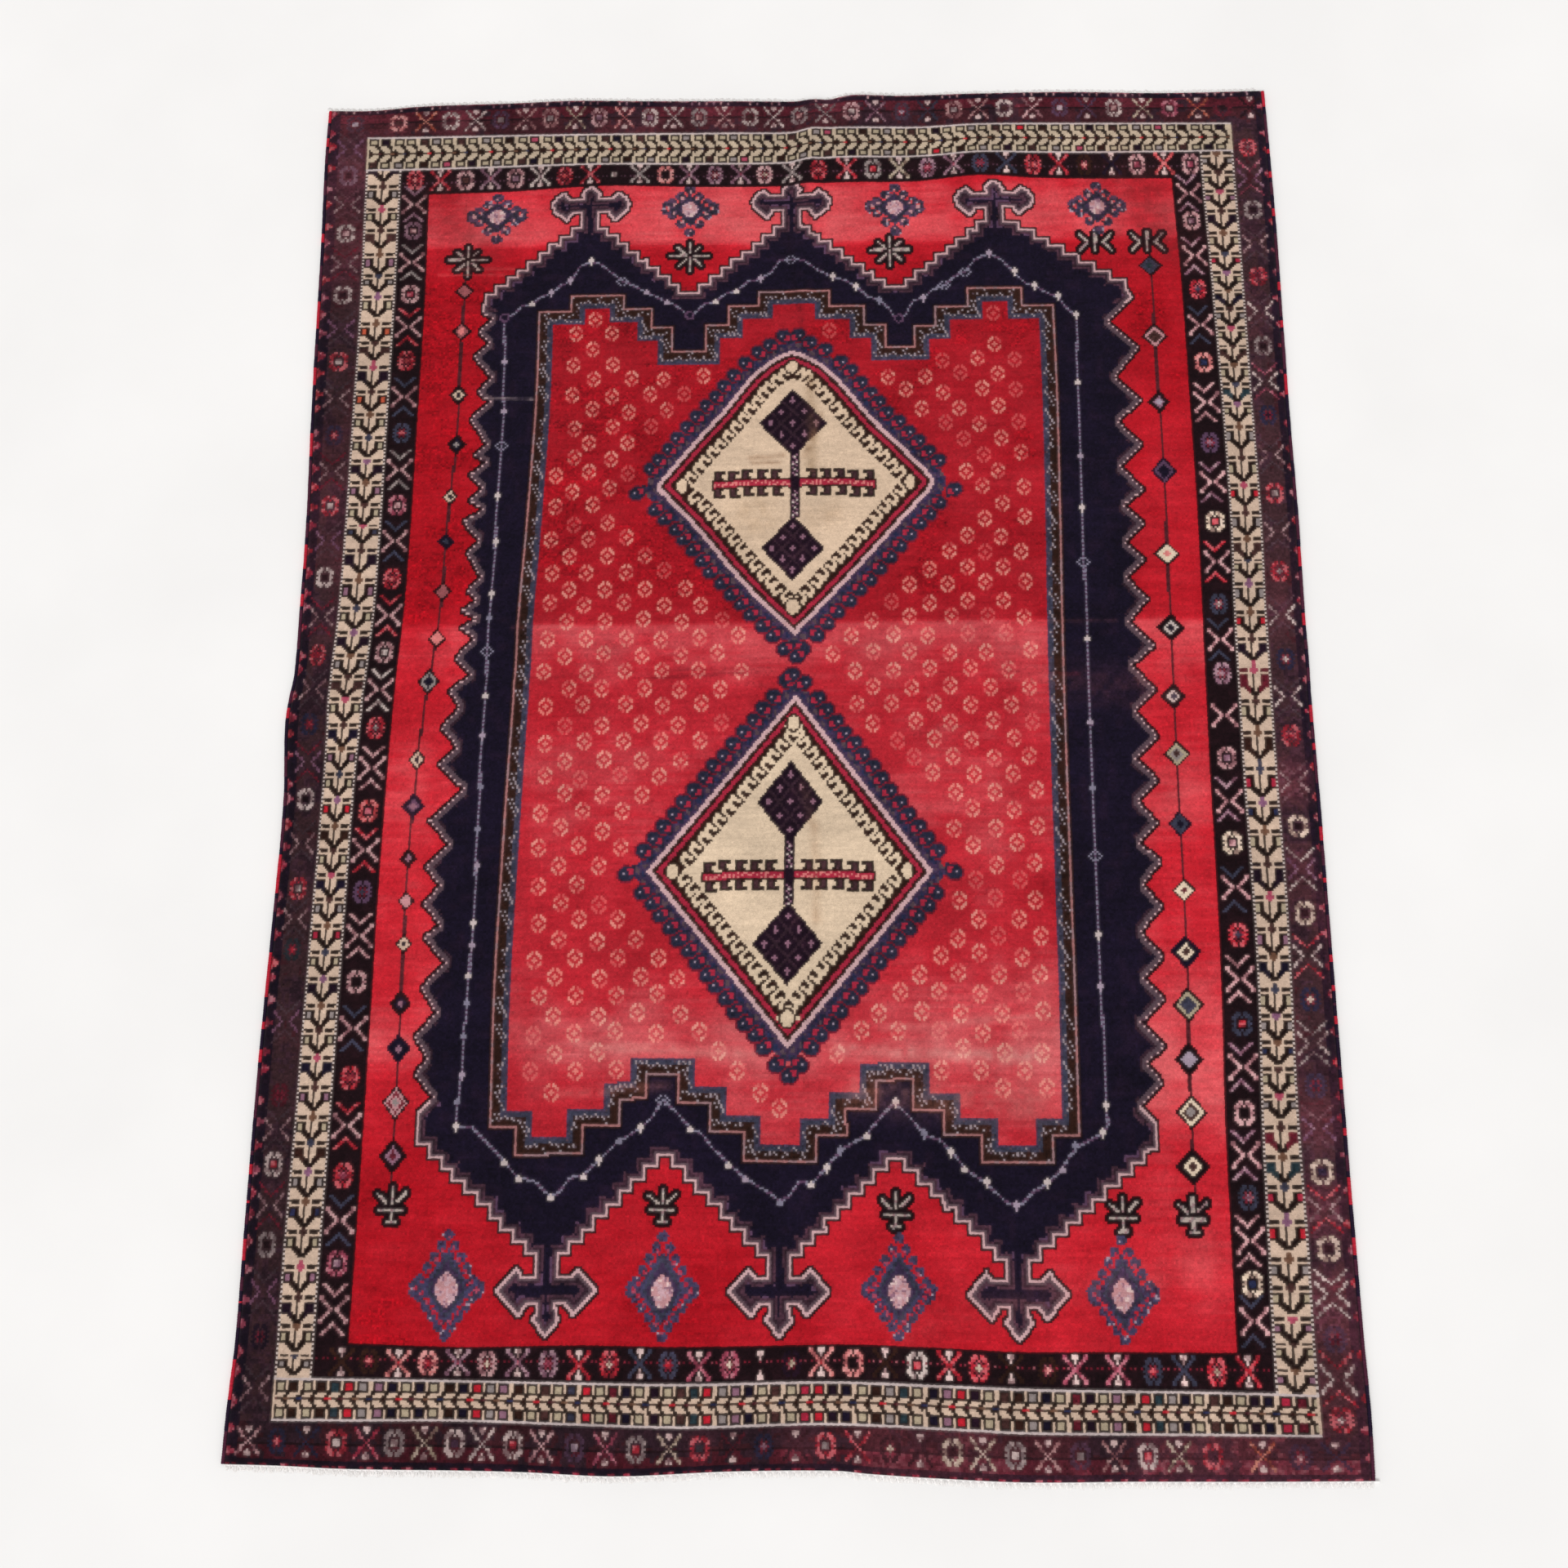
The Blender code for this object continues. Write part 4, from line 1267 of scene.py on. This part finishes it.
def wool_material(name, fibre, streaks, bump, **settings):
    """Coloured by the piece's tint, broken up by fibres and streaks, each a scale, tones and a stretch."""
    material, tree, shader = new_material(name, Sheen_Roughness=0.5, **settings)
    fine, coarse = add_noise(tree, fibre[0], 3.0), add_noise(tree, streaks[0], 2.0, streaks[3])
    tones = [add_node(tree, "ShaderNodeMapRange", {"Value": noise, "From Min": 0.25, "From Max": 0.75,
                                                   "To Min": low, "To Max": high}).outputs["Result"]
             for noise, (low, high) in ((fine, fibre[1:3]), (coarse, streaks[1:3]))]
    tone = add_node(tree, "ShaderNodeMath", {0: tones[0], 1: tones[1]}, operation="MULTIPLY").outputs["Value"]
    tint = add_node(tree, "ShaderNodeVertexColor", layer_name="tint").outputs["Color"]
    shade = add_node(tree, "ShaderNodeVectorMath", {0: tint, 3: tone}, operation="SCALE").outputs["Vector"]
    relief = add_node(tree, "ShaderNodeBump", {"Height": fine, "Strength": bump[0], "Distance": bump[1]})
    tree.links.new(shade, shader.inputs["Base Color"])
    tree.links.new(relief.outputs["Normal"], shader.inputs["Normal"])
    return material


# ---------------------------------------------------------------- pile
def pile_surface():
    """Where each corner of each knot lies, with the rim, the swells, the folds and the knots' own jitter."""
    column, row = np.meshgrid(np.arange(COLUMNS + 1.0), np.arange(ROWS + 1.0))
    x, y = (v / 1000 for v in lay(column, row))
    swell = UNEVENNESS * value_noise(x, y, SWELL_LENGTH / 2, 3)
    edge = np.minimum(np.minimum(column, COLUMNS - column), np.minimum(row, ROWS - row)) * KNOT / 1000
    rim = np.sin(np.clip(edge / RIM_WIDTH, 0, 1) * math.pi / 2)
    z = RIM_HEIGHT * (1 - rim) + (PILE_HEIGHT + swell) * rim
    x, y = (v + rng.uniform(-1, 1, v.shape) * JITTER_PLAN * (edge > 0) for v in (x, y))
    z = z + rng.uniform(-1, 1, z.shape) * JITTER_HEIGHT
    return np.stack([x, y, z + fold_height(x, y)], -1)


def corner_colours(linear):
    """Four colours for each knot: its own, run together with its neighbours' toward the corners."""
    padded = np.pad(linear, ((1, 1), (1, 1), (0, 0)), mode="edge")
    shared = (padded[:-1, :-1] + padded[1:, :-1] + padded[:-1, 1:] + padded[1:, 1:]) / 4
    corners = np.stack([shared[:-1, :-1], shared[:-1, 1:], shared[1:, 1:], shared[1:, :-1]], 2)
    return corners * MIXING + linear[:, :, None, :] * (1 - MIXING)


def pile_piece(name, mask, surface, tints, material):
    """The pile over some of the knots; the outermost part has walls down to the floor."""
    index = np.arange(surface[..., 0].size).reshape(surface.shape[:2])
    used, inverse = np.unique(quads(index)[mask.ravel()], return_inverse=True)
    faces, points, colour = inverse.reshape(-1, 4), surface.reshape(-1, 3)[used], tints[mask]
    flat = points[:, :2].copy()
    if mask[0, 0]:
        ring, following = (np.searchsorted(used, part) for part in rim_of(index))
        foot = len(points) + np.arange(len(ring))
        aside = np.clip((flat[ring] - flat.mean(0)) / 0.7, -1, 1) ** 9 * 0.008
        rows, columns = np.divmod(used[ring], COLUMNS + 1)
        rows, columns = np.minimum(rows, ROWS - 1), np.minimum(columns, COLUMNS - 1)
        # painted shade: the walls are a fifth darker than the knots at the rim above them
        wall = tints[rows, columns].mean(1, keepdims=True) * 0.8
        faces = np.concatenate([faces, np.stack([ring, foot, np.roll(foot, -1), following], 1)])
        colour = np.concatenate([colour, wall.repeat(4, 1)])
        points = np.concatenate([points, points[ring] * (1, 1, 0)])
        flat = np.concatenate([flat, flat[ring] + aside])
    uvs = ((flat - flat.min(0)) / np.ptp(flat, axis=0) * 0.996 + 0.002)[faces]
    return make_piece(name, points, faces, colour, uvs, material)


# ---------------------------------------------------------------- edges
def cord_piece(name, side, material):
    """Overcast cord along a long side, its wound yarn as fine ridges in runs of dark and red wool."""
    strips = 8                                  # the cord's map is cut into this many strips side by side
    low, high = wefts_at(side * 757.0)[[0, -1]] / 1000
    count = int((high - low) / (YARN_PITCH / 3))
    y = np.linspace(low, high, count + 1)
    edge = smooth(SIDE_EDGES, 1 if side < 0 else 2, y * 1000) / 1000
    angle = (np.arange(CORD_SIDES) + 0.5) * 2 * math.pi / CORD_SIDES
    turn = y[:, None] / YARN_PITCH + angle / (2 * math.pi) * 0.8
    uneven = 0.05 * (value_noise(y, 0 * y, 0.006, 21) + value_noise(y, 0 * y, 0.03, 22))
    ridge = 0.93 + 0.055 * np.cos(2 * math.pi * turn) + uneven[:, None]
    across, up = (np.sign(v) * np.abs(v) ** 0.8 / 2 for v in (np.cos(angle), np.sin(angle)))
    x = (edge - side * CORD_WIDTH / 2)[:, None] + across * CORD_WIDTH * ridge
    z = CORD_HEIGHT / 2 + up * CORD_HEIGHT * ridge + fold_height(edge, y)[:, None] * 0.8
    points = np.stack([x, y[:, None] + 0 * x, np.maximum(z, 0)], -1).reshape(-1, 3)
    ring, station = np.meshgrid(np.arange(CORD_SIDES), np.arange(count))
    here, beside = station * CORD_SIDES + ring, station * CORD_SIDES + (ring + 1) % CORD_SIDES
    faces = np.stack([here, beside, beside + CORD_SIDES, here + CORD_SIDES], -1).reshape(-1, 4)
    dark, plum, red = to_linear(((34, 22, 42), (74, 34, 52), (178, 36, 54)))
    run, slow = value_noise(y[:-1], 0, 0.022, 31 if side < 0 else 37), value_noise(y[:-1], 0, 0.11, 33)
    tint = np.where((run > 0.42 - 0.1 * slow)[:, None], red, np.where((run < -0.25)[:, None], plum, dark))
    tint = tint[:, None, None, :] * (0.85 + 0.3 * rng.random((count, 1, 1, 1)))
    tint = tint.repeat(CORD_SIDES, 1).repeat(4, 2)
    strip, v_low = np.divmod(station * strips / count, 1)
    u_low, u_high = ((strip + (ring + k) / CORD_SIDES * 0.9 + 0.05) / strips for k in (0, 1))
    v_high = np.minimum(v_low + strips / count, 1)
    uvs = np.stack([u_low, v_low, u_high, v_low, u_high, v_high, u_low, v_high], -1).reshape(-1, 4, 2)
    return make_piece(name, points, faces, tint, uvs * 0.996 + 0.002, material)


def add_strand(points, faces, path, radius, sides=3):
    """A thin round strand along a path, thinner toward its tip."""
    first = len(points)
    for k, (x, y, z) in enumerate(path):
        size = radius * (1 - 0.45 * k / (len(path) - 1))
        for angle in (2 * math.pi * side / sides + 0.6 for side in range(sides)):
            points.append((x + math.cos(angle) * size, y, max(z + math.sin(angle) * size, 0.0)))
    for k in range(first, first + (len(path) - 1) * sides, sides):
        for s in range(sides):
            a, b = k + s, k + (s + 1) % sides
            faces.append((a, b, b + sides, a + sides))


def fringe_piece(name, side, material):
    """Narrow woven strip at an end, and the cropped warp ends standing out of it as small fluffy tufts."""
    count = int((FRINGE_ENDS[1] - FRINGE_ENDS[0]) / TUFT_PITCH)
    xs = np.linspace(*FRINGE_ENDS, count * 3 + 1)
    edge = smooth(END_EDGES, 1 if side > 0 else 2, xs * 1000) / 1000
    inner, outer = edge + side * GAP, edge + side * (GAP + STRIP_DEPTH)
    points, faces, shades = [], [], []
    for k, x in enumerate(xs):
        top = STRIP_HEIGHT * (1 + 0.10 * (k % 3 - 1))
        points += [(x, inner[k], 0), (x, outer[k], 0), (x, outer[k], top * 0.8),
                   (x, (inner[k] + outer[k]) / 2, top), (x, inner[k], top * 0.95)]
    for k, s in np.ndindex(len(xs) - 1, 5):
        a, b = k * 5 + s, k * 5 + (s + 1) % 5
        faces.append((a, b, b + 5, a + 5) if side > 0 else (a + 5, b + 5, b, a))
        shades.append(0.96 + 0.04 * (k % 3 == 1))
    for k in range(count):
        middle = FRINGE_ENDS[0] + (k + 0.5) * TUFT_PITCH
        lean, reach, tone = rng.uniform(-0.0012, 0.0012), rng.uniform(0.0056, 0.0082), rng.uniform(0.96, 1.0)
        root = float(np.interp(middle, xs, outer)) - side * 0.0010
        for n in range(FAN_SPANS + 1):          # a flat fan under the strands, the ends felted together
            angle = math.pi * n / FAN_SPANS
            x, y = middle - math.cos(angle) * TUFT_PITCH / 2, 0.0012 + reach * 0.94 * math.sin(angle) ** 0.6
            points += [(x, root, 0.0016), (x + lean * 0.6, root + side * y, 0.0005)]
            a = len(points) - 4
            if n:
                faces.append((a, a + 2, a + 3, a + 1) if side > 0 else (a, a + 1, a + 3, a + 2))
                shades.append(1.0)
        for n in range(TUFT_STRANDS):
            share = (n + 0.5) / TUFT_STRANDS * 2 - 1
            x0 = middle + share * TUFT_PITCH * 0.40
            start = float(np.interp(x0, xs, outer)) - side * 0.0012
            length = 0.0012 + reach * math.sqrt(max(1 - (share * 0.88) ** 2, 0.05)) * rng.uniform(0.88, 1.06)
            spread = share * 0.0006 + lean + rng.uniform(-0.0006, 0.0006)
            lift, path = rng.uniform(0.0004, 0.0016), []
            for t in np.linspace(0, 1, STRAND_STEPS):
                sway = math.sin(t * math.pi) * rng.uniform(-0.0004, 0.0004)
                path.append((x0 + spread * t * t + sway, start + side * length * t,
                             0.0019 * (1 - t) + 0.0006 + lift * math.sin(t * math.pi)))
            before = len(faces)
            add_strand(points, faces, path, rng.uniform(0.00045, 0.00062))
            shades += [tone * rng.uniform(0.96, 1.03)] * (len(faces) - before)
    colours = (np.array(shades)[:, None, None] * to_linear((255, 252, 250))).repeat(4, 1)
    cells = int(math.ceil(math.sqrt(len(faces))))           # each face has its own cell of the map
    cell = np.stack(np.divmod(np.arange(len(faces)), cells)[::-1], -1)[:, None, :]
    uvs = (cell + np.array(((0.15, 0.15), (0.85, 0.15), (0.85, 0.85), (0.15, 0.85)))) / cells
    return make_piece(name, np.array(points), faces, colours, uvs, material)


def back_piece(name, linear, material):
    """The woven back: a thin closed sheet under the pile, the pattern showing through on its underside."""
    columns, rows = ([*range(0, count, BACK_STEP), count] for count in (COLUMNS, ROWS))
    x, y = (v / 1000 for v in lay(*np.meshgrid(columns, rows)))
    x = x - np.sign(x - x.mean()) * BACK_INSET * (np.abs(x - x.mean()) > 0.7)
    y = y - np.sign(y - y.mean()) * BACK_INSET * (np.abs(y - y.mean()) > 0.95)
    top, bottom = (np.stack([x, y, x * 0 + height], -1).reshape(-1, 3) for height in (BACK_THICKNESS, 0))
    index = np.arange(x.size).reshape(x.shape)
    ring, following = rim_of(index)
    walls = np.stack([ring, ring + x.size, following + x.size, following], -1)
    faces = np.concatenate([quads(index), quads(index)[:, ::-1] + x.size, walls])
    cells = np.array([linear[r:r + BACK_STEP, c:c + BACK_STEP].reshape(-1, 3).mean(0)
                      for r in rows[:-1] for c in columns[:-1]])
    wool = to_linear((196, 176, 150))
    plain, shown = np.tile(wool, (len(cells), 1)), cells * 0.75 + wool * 0.12
    colours = np.concatenate([plain, shown, np.tile(wool, (len(walls), 1))])
    points = np.concatenate([top, bottom])
    flat = (points[:, :2] - points[:, :2].min(0)) / np.ptp(points[:, :2], axis=0)
    uvs = flat[faces] * (0.48, 0.98) + 0.01
    uvs[len(cells):, :, 0] += 0.5
    return make_piece(name, points, faces, colours[:, None, :].repeat(4, 1), uvs, material)


# ---------------------------------------------------------------- floor, light and camera
def link(name, data, location=(0, 0, 0), degrees=(0, 0, 0)):
    thing = bpy.data.objects.new(name, data)
    thing.location, thing.rotation_euler = location, [math.radians(angle) for angle in degrees]
    bpy.context.scene.collection.objects.link(thing)
    return thing


def add_floor(half=7.0, below=0.0002):
    mesh = bpy.data.meshes.new("floor")
    corners = [(x * half, y * half, 0) for x, y in ((-1, -1), (1, -1), (1, 1), (-1, 1))]
    mesh.from_pydata(corners, [], [(0, 1, 2, 3)])
    material, tree, shader = new_material("floor", Roughness=0.75, Specular_IOR_Level=0.2)
    ramp = add_node(tree, "ShaderNodeValToRGB", {"Fac": add_noise(tree, 3.0, 4.0)})
    tones = (0.3, (0.885, 0.875, 0.865, 1)), (0.7, (0.925, 0.915, 0.905, 1))
    for stop, (position, colour) in zip(ramp.color_ramp.elements, tones):
        stop.position, stop.color = position, colour
    tree.links.new(ramp.outputs["Color"], shader.inputs["Base Color"])
    mesh.materials.append(material)
    link("floor", mesh, (0, 0, -below))


def add_light():
    """A bright room, and a wide soft lamp from the camera's side."""
    world = bpy.data.worlds.new("studio")
    world.use_nodes = True
    back = world.node_tree.nodes["Background"]
    back.inputs["Color"].default_value, back.inputs["Strength"].default_value = (1.0, 0.99, 0.985, 1), 0.66
    bpy.context.scene.world = world
    sun = bpy.data.lights.new("softbox", "SUN")
    sun.energy, sun.angle = 1.55, math.radians(35)
    link("softbox", sun, degrees=(38, -16, 0))


def add_camera():
    """The photograph's view, solved from the rug's outline."""
    data = bpy.data.cameras.new("camera")
    data.lens, data.sensor_width, data.clip_end = 37.5, 36.0, 50
    bpy.context.scene.camera = link("camera", data, (0.0335352, -0.6887418, 2.3129),
                                    (14.19746522, 1.26476147, -0.15560631))


# ---------------------------------------------------------------- the rug
zones = draw()
linear = to_linear(colours()) / LIGHT
surface = pile_surface()
tints = corner_colours(linear)

# name; scale and tones of the fibres; the same of the streaks, and their stretch; strength, depth of the bump
pile_wool = wool_material("pile_wool", (850.0, 0.80, 1.20), (60.0, 0.94, 1.06, (1, 6, 1)), (0.5, 0.0006),
                          Roughness=0.95, Sheen_Weight=0.03, Specular_IOR_Level=0.05)
edge_wool = wool_material("edge_wool", (900.0, 0.75, 1.25), (90.0, 0.90, 1.10, (1, 1, 1)), (0.5, 0.0004),
                          Roughness=0.92, Sheen_Weight=0.05, Specular_IOR_Level=0.08)
cotton = wool_material("cotton_warp", (1100.0, 0.97, 1.03), (70.0, 0.98, 1.02, (1, 1, 1)), (0.12, 0.0002),
                       Roughness=0.9, Sheen_Weight=0.4, Specular_IOR_Level=0.15)
back_weave = wool_material("back_weave", (650.0, 0.80, 1.15), (200.0, 0.93, 1.07, (1, 5, 1)), (0.6, 0.0006),
                           Roughness=0.95, Sheen_Weight=0.05, Specular_IOR_Level=0.1)

pile = [pile_piece(name, mask, surface, tints, pile_wool) for name, mask in zones.items()]
cords = [cord_piece("cord_left", -1, edge_wool), cord_piece("cord_right", 1, edge_wool)]
fringes = [fringe_piece("warp_ends_top", 1, cotton), fringe_piece("warp_ends_bottom", -1, cotton)]
back = back_piece("woven_back", linear, back_weave)

for piece in pile + [back]:
    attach(piece, "root")
    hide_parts("rug_body")
for piece, node in zip(cords + fringes, ("selvedge_left", "selvedge_right", "fringe_top", "fringe_bottom")):
    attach(piece, "root")
    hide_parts(node)

add_floor()
add_light()
add_camera()
bpy.context.scene.view_settings.view_transform = "Standard"
